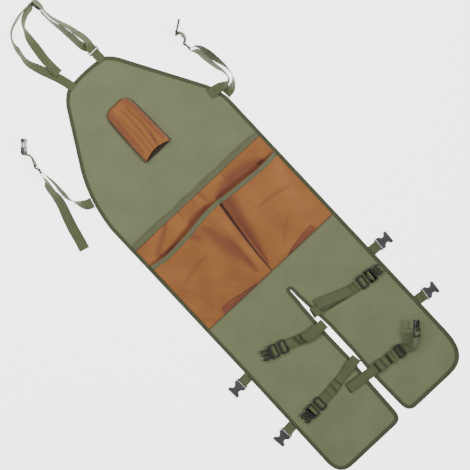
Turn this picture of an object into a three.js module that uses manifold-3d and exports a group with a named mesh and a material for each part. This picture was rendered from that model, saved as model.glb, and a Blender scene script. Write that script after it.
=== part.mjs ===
// A gardening leg apron lying flat with its front face up: canvas body with two leg flaps,
// bound edge, orange pockets, and webbing straps with plastic buckles.
// Millimetres, +Z up, +Y towards the neck, +X towards the wearer's left hand.
import * as THREE from 'three';
import { mergeVertices } from 'three/addons/utils/BufferGeometryUtils.js';
import Module from 'manifold-3d';

const wasm = await Module();
wasm.setup();

// Cloth and layers
const GAP = 0.3;
const PANEL_THICKNESS = 1.2;
const BINDING_WALL = 1.0;
const BINDING_WIDTH = 9;
const POCKET_THICKNESS = 1.2;
const TAPE_THICKNESS = 1.0;
const PANEL_BOTTOM = BINDING_WALL + GAP;
const PANEL_TOP = PANEL_BOTTOM + PANEL_THICKNESS;
const BINDING_TOP = PANEL_TOP + GAP + BINDING_WALL;

// Outline of the body
const HALF_WIDTH = 208;
const HEM_Y = -515;
const SLIT_TIP_Y = -111;
const CURVE_STEPS = 8;

// Webbing and its plastic fittings
const WEBBING_THICKNESS = 1.2;
const WEBBING_WIDTH = 25;
const NECK_WEBBING_WIDTH = 22;
const BAR = 3;
const SLOT = 5;
const PITCH = BAR + SLOT;
const PLATE_THICKNESS = 2.4;
const SIDE_BAR = 3;
const SLOT_PLAY = 1.2;
const PLUG_LENGTH = 42;
const PLUG_FRAME = 2 * PITCH + 4;
const SOCKET_LENGTH = 36;
const SOCKET_THICKNESS = 9;
const SOCKET_BAR_BOTTOM = 3;
const SOCKET_BAR_TOP = 5.6;
const SOCKET_BAR_MIDDLE = (SOCKET_BAR_BOTTOM + SOCKET_BAR_TOP) / 2;

// Heights of the layers of a strap that lies on the apron
const LOW = PANEL_TOP + GAP + WEBBING_THICKNESS / 2;
const MIDDLE = LOW + WEBBING_THICKNESS + GAP;
const PLATE_BOTTOM = MIDDLE + WEBBING_THICKNESS / 2 + 0.4;
const PLATE_TOP = PLATE_BOTTOM + PLATE_THICKNESS;
const HIGH = PLATE_TOP + GAP + WEBBING_THICKNESS / 2;
const ON_BINDING = BINDING_TOP + GAP + WEBBING_THICKNESS / 2;

const COLOURS = {
  canvas: { color: '#858766', roughness: 0.9, metalness: 0 },
  binding: { color: '#6a664c', roughness: 0.9, metalness: 0 },
  pocket: { color: '#a57248', roughness: 0.9, metalness: 0 },
  tape: { color: '#76755a', roughness: 0.85, metalness: 0 },
  webbing: { color: '#6c7256', roughness: 0.85, metalness: 0 },
  black_plastic: { color: '#2e2e2c', roughness: 0.45, metalness: 0 },
  grey_plastic: { color: '#5c5c5e', roughness: 0.45, metalness: 0 },
};

const apron = new THREE.Group();
const materials = Object.fromEntries(
  Object.entries(COLOURS).map(([name, look]) => [name, new THREE.MeshStandardMaterial(look)]),
);

function addPiece(name, geometry, look) {
  const mesh = new THREE.Mesh(geometry, materials[look]);
  mesh.name = name;
  apron.add(mesh);
  return mesh;
}

const radians = THREE.MathUtils.degToRad;
const mix = THREE.MathUtils.lerp;
const vector = (x, y, z) => new THREE.Vector3(x, y, z);

// A twisted quad bulges to one side or the other by the diagonal that splits it. All are
// split to bulge away from this side, so layers that share a twist keep their distance.
const SPLIT_SIDE = vector(-0.6, 0.8, 1);

// Closed body from loops of points of one count. Each loop runs out along one face
// and back along the other, so its ends are closed by a strip of quads.
function loft(loops, closed = false) {
  const count = loops[0].length;
  const points = loops.flat();
  const positions = points.flatMap((p) => [p.x, p.y, p.z]);
  const index = [];
  const quad = (a, b, c, d) => {
    const bulge = points[a].clone().add(points[c]).sub(points[b]).sub(points[d]);
    if (bulge.dot(SPLIT_SIDE) < 0) index.push(a, b, c, a, c, d);
    else index.push(b, c, d, b, d, a);
  };
  const spans = closed ? loops.length : loops.length - 1;
  for (let i = 0; i < spans; i += 1) {
    const here = i * count;
    const next = ((i + 1) % loops.length) * count;
    for (let j = 0; j < count; j += 1) {
      const k = (j + 1) % count;
      quad(here + j, next + j, next + k, here + k);
    }
  }
  if (!closed) {
    const last = (loops.length - 1) * count;
    for (let j = 0; j < count / 2 - 1; j += 1) {
      quad(j, j + 1, count - 2 - j, count - 1 - j);
      quad(last + j + 1, last + j, last + count - 1 - j, last + count - 2 - j);
    }
  }
  return facingOut(positions, index);
}

function facingOut(positions, index) {
  const corner = (i) => vector(positions[3 * i], positions[3 * i + 1], positions[3 * i + 2]);
  let volume = 0;
  for (let t = 0; t < index.length; t += 3) {
    volume += corner(index[t]).dot(corner(index[t + 1]).cross(corner(index[t + 2])));
  }
  if (volume < 0) {
    for (let t = 0; t < index.length; t += 3) {
      [index[t], index[t + 1]] = [index[t + 1], index[t]];
    }
  }
  const geometry = new THREE.BufferGeometry();
  geometry.setAttribute('position', new THREE.Float32BufferAttribute(positions, 3));
  geometry.setIndex(index);
  return geometry;
}

// Solids that are cut or joined
function toSolid(geometry) {
  const bare = geometry.clone();
  bare.deleteAttribute('normal');
  bare.deleteAttribute('uv');
  const merged = mergeVertices(bare, 1e-4);
  return new wasm.Manifold(new wasm.Mesh({
    numProp: 3,
    vertProperties: Float32Array.from(merged.attributes.position.array),
    triVerts: Uint32Array.from(merged.index.array),
  }));
}

function fromSolid(solid) {
  const mesh = solid.getMesh();
  const geometry = new THREE.BufferGeometry();
  geometry.setAttribute('position', new THREE.Float32BufferAttribute(mesh.vertProperties, 3));
  geometry.setIndex(Array.from(mesh.triVerts));
  return geometry;
}

function plate(shape, bottom, thickness) {
  const geometry = new THREE.ExtrudeGeometry(shape, {
    depth: thickness, bevelEnabled: false, curveSegments: 4,
  });
  return geometry.translate(0, 0, bottom);
}

function rectangle(x0, x1, y0, y1) {
  const shape = new THREE.Shape();
  shape.moveTo(x0, y0).lineTo(x1, y0).lineTo(x1, y1).lineTo(x0, y1).closePath();
  return shape;
}

// A solid with boxes cut out of it, each box given by its ranges in x, y and z
function cutBoxes(solid, boxes) {
  return boxes.reduce((left, { x, y, z }) => (
    left.subtract(toSolid(plate(rectangle(...x, ...y), z[0], z[1] - z[0])))
  ), solid);
}

// Outline of the body, counter-clockwise from the neck edge's right corner
function bodyOutline() {
  const outline = new THREE.Shape();
  outline.moveTo(56, 592);
  outline.quadraticCurveTo(0, 600, -56, 592);
  outline.quadraticCurveTo(-77, 580, -90, 558);
  outline.lineTo(-165, 430);
  outline.quadraticCurveTo(-200, 365, -HALF_WIDTH, 280);
  outline.lineTo(-HALF_WIDTH, -170);
  outline.lineTo(-211, -468);
  outline.quadraticCurveTo(-211, HEM_Y, -170, HEM_Y);
  outline.lineTo(-32, HEM_Y);
  outline.quadraticCurveTo(-9, HEM_Y, -9, -486);
  outline.lineTo(-6, -398);
  outline.lineTo(-1, -325);
  outline.lineTo(-2, -240);
  outline.lineTo(1, -165);
  outline.lineTo(3.4, -135);
  outline.lineTo(3.6, SLIT_TIP_Y - 1);
  outline.quadraticCurveTo(4.5, SLIT_TIP_Y + 1.5, 5.4, SLIT_TIP_Y - 1);
  outline.lineTo(5.6, -135);
  outline.lineTo(8, -170);
  outline.lineTo(13, -237);
  outline.lineTo(12.5, -322);
  outline.lineTo(8, -398);
  outline.lineTo(9.5, -486);
  outline.quadraticCurveTo(10, HEM_Y - 1, 34, HEM_Y - 1);
  outline.lineTo(145, HEM_Y - 1);
  outline.quadraticCurveTo(HALF_WIDTH, HEM_Y - 1, HALF_WIDTH, -436);
  outline.lineTo(HALF_WIDTH, 318);
  outline.quadraticCurveTo(203, 352, 190, 377);
  outline.lineTo(92, 549);
  outline.quadraticCurveTo(78, 578, 56, 592);
  const points = outline.getPoints(CURVE_STEPS);
  return points.filter((p, i) => p.distanceTo(points[(i + 1) % points.length]) > 0.05);
}

// The outline moved inwards, with mitred corners
function inset(points, distance) {
  return points.map((point, i) => {
    const before = points[(i + points.length - 1) % points.length];
    const after = points[(i + 1) % points.length];
    const a = point.clone().sub(before).normalize();
    const b = after.clone().sub(point).normalize();
    const na = new THREE.Vector2(-a.y, a.x);
    const nb = new THREE.Vector2(-b.y, b.x);
    const mitre = na.clone().add(nb).divideScalar(1 + na.dot(nb));
    return point.clone().addScaledVector(mitre, distance);
  });
}

function makePanel(outline) {
  const edge = inset(outline, BINDING_WALL + GAP);
  addPiece('apron_panel', plate(new THREE.Shape(edge), PANEL_BOTTOM, PANEL_THICKNESS), 'canvas');
}

// A folded tape that grips the edge of the panel from both faces
function makeBinding(outline) {
  const section = [
    { inward: BINDING_WIDTH, z: BINDING_TOP },
    { inward: 0, z: BINDING_TOP },
    { inward: 0, z: 0 },
    { inward: BINDING_WIDTH, z: 0 },
    { inward: BINDING_WIDTH, z: BINDING_WALL },
    { inward: BINDING_WALL, z: BINDING_WALL },
    { inward: BINDING_WALL, z: BINDING_TOP - BINDING_WALL },
    { inward: BINDING_WIDTH, z: BINDING_TOP - BINDING_WALL },
  ];
  const rings = section.map((row) => inset(outline, row.inward));
  const loops = outline.map((_, i) => section.map((row, j) => vector(rings[j][i].x, rings[j][i].y, row.z)));
  addPiece('edge_binding', loft(loops, true), 'binding');
}

// Cloth wall from columns of points on its under face, thickened along its normals
function clothWall(columns, thickness) {
  const normals = columns.map((column, i) => column.map((point, j) => {
    const left = columns[Math.max(i - 1, 0)][j];
    const right = columns[Math.min(i + 1, columns.length - 1)][j];
    const below = column[Math.max(j - 1, 0)];
    const above = column[Math.min(j + 1, column.length - 1)];
    return right.clone().sub(left).cross(above.clone().sub(below)).normalize();
  }));
  const upper = columns.map((column, i) => column.map(
    (point, j) => point.clone().addScaledVector(normals[i][j], thickness),
  ));
  return { normals, loops: columns.map((column, i) => [...upper[i], ...[...column].reverse()]) };
}

// Tape folded over the last points of the columns of a cloth wall
function edgeTape(columns, normals, wall, width) {
  return columns.map((column, i) => {
    const edge = column[column.length - 1];
    const normal = normals[i][normals[i].length - 1];
    const inward = column[column.length - 2].clone().sub(edge).normalize();
    const place = (back, out) => edge.clone().addScaledVector(inward, back).addScaledVector(normal, out);
    const front = wall + GAP;
    return [
      place(width, front + TAPE_THICKNESS),
      place(-GAP - TAPE_THICKNESS, front + TAPE_THICKNESS),
      place(-GAP - TAPE_THICKNESS, -GAP - TAPE_THICKNESS),
      place(width, -GAP - TAPE_THICKNESS),
      place(width, -GAP),
      place(-GAP, -GAP),
      place(-GAP, front),
      place(width, front),
    ];
  });
}

// The row of narrow pockets: flat at its seams, a little open at its mouths
const TAPE_ROOM = TAPE_THICKNESS + GAP;
const BACK_POCKETS = {
  bottom: -49, top: 213, seam: PANEL_TOP + GAP, half: HALF_WIDTH - BINDING_WIDTH - 0.6, gape: 6,
};
const BACK_DIVIDERS = [-BACK_POCKETS.half, -63, -5, 73, BACK_POCKETS.half];
const BACK_ROWS = [0, 0.5, 0.66, 0.8, 0.9, 0.955, 1];
const BACK_STEPS = 6;

function makeBackPockets() {
  const { bottom, top, seam, gape } = BACK_POCKETS;
  const columns = [];
  for (let pocket = 1; pocket < BACK_DIVIDERS.length; pocket += 1) {
    const [x0, x1] = [BACK_DIVIDERS[pocket - 1], BACK_DIVIDERS[pocket]];
    for (let i = pocket === 1 ? 0 : 1; i <= BACK_STEPS; i += 1) {
      const u = i / BACK_STEPS;
      const bulge = Math.sin(Math.PI * u) ** 0.8;
      columns.push(BACK_ROWS.map((v) => {
        const lift = (gape * bulge + TAPE_ROOM) * THREE.MathUtils.smoothstep(v, 0.62, 0.955);
        return vector(mix(x0, x1, u), mix(bottom, top, v), seam + lift);
      }));
    }
  }
  const wall = clothWall(columns, POCKET_THICKNESS);
  addPiece('back_pocket_panel', loft(wall.loops), 'pocket');
  const tape = edgeTape(columns, wall.normals, POCKET_THICKNESS, 10);
  addPiece('back_pocket_tape', loft(tape), 'tape');
}

// The two large pockets: a row for each seam, pleat, ridge and crease across them.
// mouth_x and hem_x are its ends, lift its height at the mouth, mouth_y the top edge.
const FRONT_SECTIONS = [
  { mouth_x: -198.4, hem_x: -198.4, lift: 0, mouth_y: 150 },
  { mouth_x: -190, hem_x: -152, lift: 2, mouth_y: 150 },
  { mouth_x: -180, hem_x: -146, lift: 7, mouth_y: 148 },
  { mouth_x: -160, hem_x: -134, lift: 13, mouth_y: 145 },
  { mouth_x: -138, hem_x: -118, lift: 16, mouth_y: 145 },
  { mouth_x: -110, hem_x: -96, lift: 17, mouth_y: 146 },
  { mouth_x: -82, hem_x: -72, lift: 16, mouth_y: 149 },
  { mouth_x: -58, hem_x: -48, lift: 13.5, mouth_y: 152 },
  { mouth_x: -38, hem_x: -30, lift: 14, mouth_y: 155 },
  { mouth_x: -22, hem_x: -18, lift: 17, mouth_y: 157 },
  { mouth_x: -6, hem_x: -8, lift: 18, mouth_y: 158 },
  { mouth_x: 8, hem_x: -2, lift: 12, mouth_y: 158 },
  { mouth_x: 17, hem_x: 3, lift: 3, mouth_y: 158 },
  { mouth_x: 23, hem_x: 7, lift: 2, mouth_y: 158 },
  { mouth_x: 31, hem_x: 13, lift: 9, mouth_y: 157 },
  { mouth_x: 44, hem_x: 24, lift: 15, mouth_y: 155 },
  { mouth_x: 62, hem_x: 44, lift: 19, mouth_y: 153 },
  { mouth_x: 88, hem_x: 72, lift: 20, mouth_y: 151 },
  { mouth_x: 116, hem_x: 98, lift: 20, mouth_y: 149 },
  { mouth_x: 142, hem_x: 120, lift: 18, mouth_y: 147 },
  { mouth_x: 162, hem_x: 135, lift: 14, mouth_y: 147 },
  { mouth_x: 180, hem_x: 146, lift: 7, mouth_y: 148 },
  { mouth_x: 190, hem_x: 152, lift: 2, mouth_y: 150 },
  { mouth_x: 198.4, hem_x: 198.4, lift: 0, mouth_y: 150 },
];
const FRONT_POCKETS = {
  hem_y: -50, tape: 9, seam: PANEL_TOP + 2 * GAP + POCKET_THICKNESS, mouth_room: 3.2,
};
const FRONT_ROWS = [
  { v: 0, fullness: 0 },
  { v: 0.035, fullness: 0.3 },
  { v: 0.09, fullness: 0.52 },
  { v: 0.2, fullness: 0.68 },
  { v: 0.35, fullness: 0.76 },
  { v: 0.52, fullness: 0.82 },
  { v: 0.68, fullness: 0.86 },
  { v: 0.82, fullness: 0.92 },
  { v: 0.945, fullness: 0.98 },
  { v: 1, fullness: 1 },
];

function makeFrontPockets() {
  const { hem_y, tape, seam, mouth_room } = FRONT_POCKETS;
  const columns = FRONT_SECTIONS.map((section) => FRONT_ROWS.map(({ v, fullness }) => vector(
    mix(section.hem_x, section.mouth_x, THREE.MathUtils.smoothstep(v, -0.3, 1)),
    mix(hem_y, section.mouth_y, v),
    seam + section.lift * fullness + mouth_room * THREE.MathUtils.smoothstep(v, 0.6, 0.94),
  )));
  const wall = clothWall(columns, POCKET_THICKNESS);
  addPiece('front_pocket_panel', loft(wall.loops), 'pocket');
  addPiece('front_pocket_tape', loft(edgeTape(columns, wall.normals, POCKET_THICKNESS, tape)), 'tape');
}

// The bib pocket: a box pocket sewn to the bib round its sides and its neck end
const BIB_POCKET = { mouth_y: 339, neck_y: 488, half_mouth: 38, half_neck: 34, height: 15 };
const BIB_ROWS = [
  { v: 0, height: 1, half: 1 },
  { v: 0.15, height: 0.92, half: 1 },
  { v: 0.4, height: 0.85, half: 1 },
  { v: 0.65, height: 0.82, half: 1 },
  { v: 0.83, height: 0.78, half: 1 },
  { v: 0.91, height: 0.68, half: 0.97 },
  { v: 0.96, height: 0.48, half: 0.86 },
  { v: 0.985, height: 0.24, half: 0.7 },
  { v: 1, height: 0, half: 0.5 },
];
const BIB_SECTION = [
  { across: -1, up: 0 },
  { across: -0.985, up: 0.45 },
  { across: -0.93, up: 0.8 },
  { across: -0.78, up: 0.95 },
  { across: -0.4, up: 0.97 },
  { across: 0, up: 1 },
  { across: 0.4, up: 0.97 },
  { across: 0.78, up: 0.95 },
  { across: 0.93, up: 0.8 },
  { across: 0.985, up: 0.45 },
  { across: 1, up: 0 },
];

function makeBibPocket() {
  const { mouth_y, neck_y, half_mouth, half_neck, height } = BIB_POCKET;
  const base = PANEL_TOP + GAP;
  const columns = BIB_SECTION.map(({ across, up }) => BIB_ROWS.map((row) => {
    const half = mix(half_mouth, half_neck, row.v) * row.half;
    const lip = row.v === 0 ? 10 * up * (1 - across * across) : 0;
    return vector(across * half, mix(mouth_y, neck_y, row.v) + lip, base + height * row.height * up);
  }));
  addPiece('bib_pocket', loft(clothWall(columns, POCKET_THICKNESS).loops), 'pocket');
}

// Plan direction from one row of a route to the next, in degrees
function headingAt(rows, i) {
  const before = rows[Math.max(i - 1, 0)];
  const after = rows[Math.min(i + 1, rows.length - 1)];
  return THREE.MathUtils.radToDeg(Math.atan2(after.y - before.y, after.x - before.x));
}

// The direction across the webbing, from its heading in plan and its roll about it
function acrossFor(heading, roll) {
  const h = radians(heading);
  const r = radians(roll);
  return vector(-Math.sin(h) * Math.cos(r), Math.cos(h) * Math.cos(r), Math.sin(r));
}

// A route through rows of x, y and roll. Each row has its centre at z, or rests on the table.
class Route {
  constructor(rows, width) {
    const points = rows.map((row) => vector(row.x, row.y, row.z ?? Route.rest(row, width)));
    this.curve = new THREE.CatmullRomCurve3(points, false, 'centripetal');
    this.curve.arcLengthDivisions = 40 * rows.length;
    this.across = rows.map((row, i) => acrossFor(row.heading ?? headingAt(rows, i), row.roll ?? 0));
    this.length = this.curve.getLength();
  }

  static rest(row, width) {
    const roll = radians(row.roll ?? 0);
    const half = Math.abs(Math.sin(roll)) * width / 2;
    return GAP + half + Math.abs(Math.cos(roll)) * WEBBING_THICKNESS / 2;
  }

  // Place at a distance along the route, moved up from it and sideways
  at(distance, up = 0, side = 0) {
    const u = THREE.MathUtils.clamp(distance / this.length, 0, 1);
    const t = this.curve.getUtoTmapping(u);
    const tangent = this.curve.getTangent(t);
    const place = t * (this.across.length - 1);
    const i = Math.min(Math.floor(place), this.across.length - 2);
    const across = this.across[i].clone().lerp(this.across[i + 1], place - i);
    across.addScaledVector(tangent, -across.dot(tangent)).normalize();
    const normal = tangent.clone().cross(across);
    const past = distance - u * this.length;
    const point = this.curve.getPoint(t).addScaledVector(tangent, past);
    point.addScaledVector(normal, up).addScaledVector(across, side);
    return { point, across, tangent, normal };
  }

  samples(step) {
    const count = Math.ceil(this.length / step);
    return Array.from({ length: count + 1 }, (_, i) => this.at(this.length * i / count));
  }

  // The straight frame of a fitting that sits at a distance along the route
  frame(distance) {
    const { point, tangent, across } = this.at(distance);
    return new Frame(point, tangent, across);
  }
}

// The straight frame of a fitting: along it, across it and up from its plate
class Frame {
  constructor(origin, tangent, across) {
    this.origin = origin;
    this.tangent = tangent;
    this.across = across;
    this.normal = tangent.clone().cross(across);
  }

  static on({ x, y, z, heading, roll }) {
    const h = radians(heading);
    return new Frame(vector(x, y, z), vector(Math.cos(h), Math.sin(h), 0), acrossFor(heading, roll));
  }

  turnedOver() {
    return new Frame(this.origin, this.tangent, this.across.clone().negate());
  }

  at(along, up = 0, side = 0) {
    const point = this.origin.clone().addScaledVector(this.tangent, along);
    point.addScaledVector(this.normal, up).addScaledVector(this.across, side);
    return { point, across: this.across };
  }
}

// Places of a table of steps, each s along a route or frame, up from it and side across it
function lay(where, steps) {
  return steps.map(({ s, up, side = 0 }) => where.at(s, up, side));
}

// Webbing through a list of places, each with a point and the direction across
function webbing(places, width) {
  const loops = places.map(({ point, across }, i) => {
    const before = places[Math.max(i - 1, 0)].point;
    const after = places[Math.min(i + 1, places.length - 1)].point;
    const forward = after.clone().sub(before).normalize();
    const out = forward.cross(across).normalize();
    const corner = (side, up) => point.clone()
      .addScaledVector(across, side * width / 2)
      .addScaledVector(out, up * WEBBING_THICKNESS / 2);
    return [corner(-1, 1), corner(1, 1), corner(1, -1), corner(-1, -1)];
  });
  return loft(loops);
}

// Steps of a webbing that passes over the bar at distance bar, from under its neighbours
function overBar(bar, under, over, sign = 1) {
  const steps = [
    { from: -10.8, rise: 0 },
    { from: -6.6, rise: 0 },
    { from: -5.2, rise: 0.1 },
    { from: -2.7, rise: 0.85 },
    { from: -1.3, rise: 1 },
    { from: 1.3, rise: 1 },
    { from: 2.7, rise: 0.85 },
    { from: 5.2, rise: 0.1 },
    { from: 6.6, rise: 0 },
    { from: 10.8, rise: 0 },
  ];
  return steps.map(({ from, rise }) => ({ s: bar + sign * from, up: mix(under, over, rise) }));
}

// Steps of a webbing that turns back round the bar at distance bar, from low to high
function roundBar(bar, low, over, under) {
  return [
    { s: bar + 0.6, up: low },
    { s: bar + 2.4, up: mix(low, over, 0.16) },
    { s: bar + 2.7, up: mix(low, over, 0.5) },
    { s: bar + 2.7, up: mix(low, over, 0.8) },
    { s: bar + 1.9, up: mix(low, over, 0.97) },
    { s: bar + 0.4, up: over },
    { s: bar - 1.3, up: over },
    { s: bar - 2.7, up: mix(under, over, 0.85) },
    { s: bar - 5.2, up: mix(under, over, 0.1) },
    { s: bar - 6.6, up: under },
  ];
}

// The heights between which a cut passes right through a fitting's plate
function throughPlate(bottom) {
  return [bottom - 1, bottom + PLATE_THICKNESS + 1];
}

// Fittings lie in their own frame: x along the strap, y across it, z up
function sliderGeometry(width, bottom) {
  const half = PITCH + BAR / 2;
  const outer = width / 2 + SLOT_PLAY / 2 + SIDE_BAR;
  const inner = outer - SIDE_BAR;
  const shape = new THREE.Shape();
  const round = 2.5;
  shape.moveTo(-half + round, -outer);
  shape.lineTo(half - round, -outer).quadraticCurveTo(half, -outer, half, -outer + round);
  shape.lineTo(half, outer - round).quadraticCurveTo(half, outer, half - round, outer);
  shape.lineTo(-half + round, outer).quadraticCurveTo(-half, outer, -half, outer - round);
  shape.lineTo(-half, -outer + round).quadraticCurveTo(-half, -outer, -half + round, -outer);
  const z = throughPlate(bottom);
  const slots = [-PITCH, 0].map((bar) => (
    { x: [bar + BAR / 2, bar + BAR / 2 + SLOT], y: [-inner, inner], z }
  ));
  return fromSolid(cutBoxes(toSolid(plate(shape, bottom, PLATE_THICKNESS)), slots));
}

// The outline of one prong of a plug, from its root round its tip, and the whole plug's
// thickness beyond its frame's, where prongs, guide and head are
const PRONG = [
  { along: PLUG_FRAME - 1, across: 7 },
  { along: PLUG_LENGTH - 7, across: 8.5 },
  { along: PLUG_LENGTH - 1, across: 7 },
  { along: PLUG_LENGTH, across: 9 },
  { along: PLUG_LENGTH - 7, across: 13.5 },
  { along: PLUG_FRAME + 3, across: 11 },
  { along: PLUG_FRAME - 1, across: 11 },
];
const PLUG_EXTRA = 1.2;
const PLUG_GUIDE = { half: 2, short: 3 };

function plugGeometry(bottom) {
  const outer = WEBBING_WIDTH / 2 + SLOT_PLAY / 2 + SIDE_BAR;
  const inner = outer - SIDE_BAR;
  const z = throughPlate(bottom);
  const slots = [0, PITCH].map((bar) => ({ x: [bar + BAR, bar + BAR + SLOT], y: [-inner, inner], z }));
  const prongs = [1, -1].map((side) => (
    new THREE.Shape(PRONG.map(({ along, across }) => new THREE.Vector2(along, side * across)))
  ));
  const { half, short } = PLUG_GUIDE;
  const guide = rectangle(PLUG_FRAME - 1, PLUG_LENGTH - short, -half, half);
  const head = rectangle(2 * PITCH + 0.5, PLUG_FRAME + 0.5, -outer, outer);
  const thick = PLATE_THICKNESS + PLUG_EXTRA;
  const parts = [...prongs, guide, head].map((shape) => toSolid(plate(shape, bottom, thick)));
  const base = toSolid(plate(rectangle(0, PLUG_FRAME, -outer, outer), bottom, PLATE_THICKNESS));
  return fromSolid(parts.reduce((whole, part) => whole.add(part), cutBoxes(base, slots)));
}

// The socket in plan is an hourglass: shoulder, waist and flare are the places along it,
// narrow and mouth its half widths. wall is round the hollow for the prongs.
const SOCKET = {
  shoulder: 13, bend: 17, waist: 22, turn: 26, flare: 29, narrow: 8, mouth: 15.5,
  slot: 2.4, hollow: 11.5, hollow_half: 12.5, wall: 1.7,
};

function socketGeometry() {
  const { shoulder, bend, waist, turn, flare, narrow, mouth, slot, hollow, hollow_half, wall } = SOCKET;
  const half = WEBBING_WIDTH / 2 + SLOT_PLAY / 2 + SIDE_BAR - 1;
  const outline = new THREE.Shape();
  outline.moveTo(0, -half).lineTo(shoulder, -half).quadraticCurveTo(bend, -narrow, waist, -narrow);
  outline.quadraticCurveTo(turn, -narrow, flare, -mouth).lineTo(SOCKET_LENGTH, -mouth);
  outline.lineTo(SOCKET_LENGTH, mouth).lineTo(flare, mouth).quadraticCurveTo(turn, narrow, waist, narrow);
  outline.quadraticCurveTo(bend, narrow, shoulder, half).lineTo(0, half).closePath();
  const loop = [-half + 2, half - 2];
  const cuts = [
    { x: [BAR, BAR + slot], y: loop, z: [-1, SOCKET_THICKNESS + 1] },
    { x: [-1, BAR + 0.5], y: loop, z: [SOCKET_BAR_TOP, SOCKET_THICKNESS + 1] },
    { x: [-1, BAR + 0.5], y: loop, z: [-1, SOCKET_BAR_BOTTOM] },
    {
      x: [hollow, SOCKET_LENGTH + 1],
      y: [-hollow_half, hollow_half],
      z: [wall, SOCKET_THICKNESS - wall],
    },
  ];
  return fromSolid(cutBoxes(toSolid(plate(outline, 0, SOCKET_THICKNESS)), cuts));
}

// A fitting put in a frame: its own x, y and z along the frame's three directions
function addFitting(name, geometry, look, frame) {
  const basis = new THREE.Matrix4().makeBasis(frame.tangent, frame.across, frame.normal);
  addPiece(name, geometry.applyMatrix4(basis.setPosition(frame.origin)), look);
}

// Short doubled tabs at the outer leg edges, each looped round a socket's bar.
// edge is where the tab leaves the binding, and turn its direction in plan.
const LEG_TABS = [
  { name: 'right_upper', edge_x: HALF_WIDTH, y: -176.5, turn: -3 },
  { name: 'right_lower', edge_x: HALF_WIDTH, y: -335, turn: -6 },
  { name: 'left_upper', edge_x: -208.3, y: -194.5, turn: 184 },
  { name: 'left_lower', edge_x: -209.8, y: -349.5, turn: 187 },
];
const TAB_BAR = 19.5;

function makeLegTabs() {
  const turned = [
    { s: TAB_BAR - 1.6, up: 0.6 },
    { s: TAB_BAR + 0.8, up: 1.3 },
    { s: TAB_BAR + 2.7, up: 3.2 },
    { s: TAB_BAR + 2.7, up: 5.4 },
    { s: TAB_BAR + 1.9, up: 6.6 },
    { s: TAB_BAR, up: 6.9 },
    { s: TAB_BAR - 1.8, up: 6.5 },
    { s: TAB_BAR - 6, up: 4.2 },
    { s: TAB_BAR - 11, up: 2.4 },
  ];
  for (const tab of LEG_TABS) {
    const h = radians(tab.turn);
    const start = GAP + 0.1 + WEBBING_WIDTH / 2 * Math.abs(Math.sin(h));
    const steps = [{ s: start, up: 0.6 }, ...turned, { s: start, up: 2.1 }];
    const route = new Route([
      { x: tab.edge_x, y: tab.y, z: 0, heading: tab.turn },
      { x: tab.edge_x + 60 * Math.cos(h), y: tab.y + 60 * Math.sin(h), z: 0, heading: tab.turn },
    ], WEBBING_WIDTH);
    addPiece(`leg_tab_${tab.name}`, webbing(lay(route, steps), WEBBING_WIDTH), 'webbing');
    addFitting(`leg_socket_${tab.name}`, socketGeometry(), 'grey_plastic', route.frame(TAB_BAR - BAR / 2));
  }
}

// Leg straps. route runs in plan from the slit to the plug's tip, fold is where the strap
// turns back before it, and slider and plug are places along it. The rows of tail give its
// end: s along the route, up its height and side its shift across.
const LEG_STRAPS = [
  {
    name: 'right_upper',
    fold: -5,
    slider: 136,
    route: [{ x: 8, y: -189 }, { x: 60, y: -200 }, { x: 120, y: -212.5 }, { x: 202, y: -220 }],
    tail: [
      { s: 105, up: MIDDLE },
      { s: 66, up: MIDDLE, side: 5 },
      { s: 46, up: MIDDLE + 1.4, side: 8 },
      { s: 32, up: 7.9, side: 10 },
      { s: 15, up: 7.9, side: 12 },
    ],
  },
  {
    name: 'left_upper',
    fold: -10,
    slider: 103,
    route: [
      { x: -1, y: -225 }, { x: -26, y: -224.5 }, { x: -52, y: -217 },
      { x: -76, y: -207 }, { x: -98, y: -199.5 }, { x: -130, y: -189.5 }, { x: -150, y: -183.5 },
    ],
    tail: [
      { s: 70, up: MIDDLE },
      { s: 44, up: MIDDLE + 1.4 },
      { s: 30, up: 7.8 },
      { s: 0, up: 7.8 },
      { s: -4.6, up: 8 },
      { s: -6, up: 8.7 },
      { s: -4.6, up: 9.4 },
      { s: 4, up: 9.5 },
      { s: 32, up: 9.4 },
      { s: 46, up: 7.9 },
      { s: 56, up: 6.7 },
    ],
  },
  {
    name: 'left_lower',
    fold: -10,
    slider: 128,
    route: [
      { x: -1, y: -338 }, { x: -30, y: -343 }, { x: -60, y: -348.5 },
      { x: -90, y: -353 }, { x: -128, y: -356 }, { x: -176, y: -358 },
    ],
    tail: [
      { s: 100, up: MIDDLE },
      { s: 84, up: MIDDLE },
      { s: 72, up: MIDDLE + 0.4 },
      { s: 64, up: MIDDLE },
    ],
  },
  {
    name: 'right_lower',
    fold: -10,
    slider: 87,
    plug: 143,
    route: [
      { x: 8, y: -384 }, { x: 36, y: -387.5 }, { x: 62, y: -390.5 }, { x: 86, y: -393, roll: 4 },
      { x: 104, y: -395, roll: 6 }, { x: 113, y: -398, roll: 18 }, { x: 121, y: -402, roll: 36 },
      { x: 128, y: -404, roll: 52 }, { x: 134, y: -401, roll: 58 }, { x: 140, y: -394, roll: 60 },
      { x: 165, y: -366, roll: 60 },
    ],
    tail: [
      { s: 74, up: MIDDLE + 0.8 },
      { s: 69, up: 8.6 },
      { s: 63, up: 10.4 },
      { s: 58, up: 9.4 },
      { s: 52, up: MIDDLE + 1.4 },
      { s: 44, up: 7.2 },
      { s: 36, up: 10.6 },
      { s: 28, up: 11.2 },
      { s: 21, up: 8.6 },
      { s: 10, up: 7.9 },
      { s: -6, up: 7.6 },
      { s: -16, up: 5.2 },
      { s: -40, up: 4.9 },
      { s: -64, up: 4.9 },
    ],
  },
];
const WRAP = PITCH + BAR / 2;
const PLUG_AFTER_SLIDER = WRAP + 5;
const FOLD_UP = ON_BINDING + WEBBING_THICKNESS + GAP;
const PLUG_HALF = WEBBING_WIDTH / 2 + SLOT_PLAY / 2 + SIDE_BAR;

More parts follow.
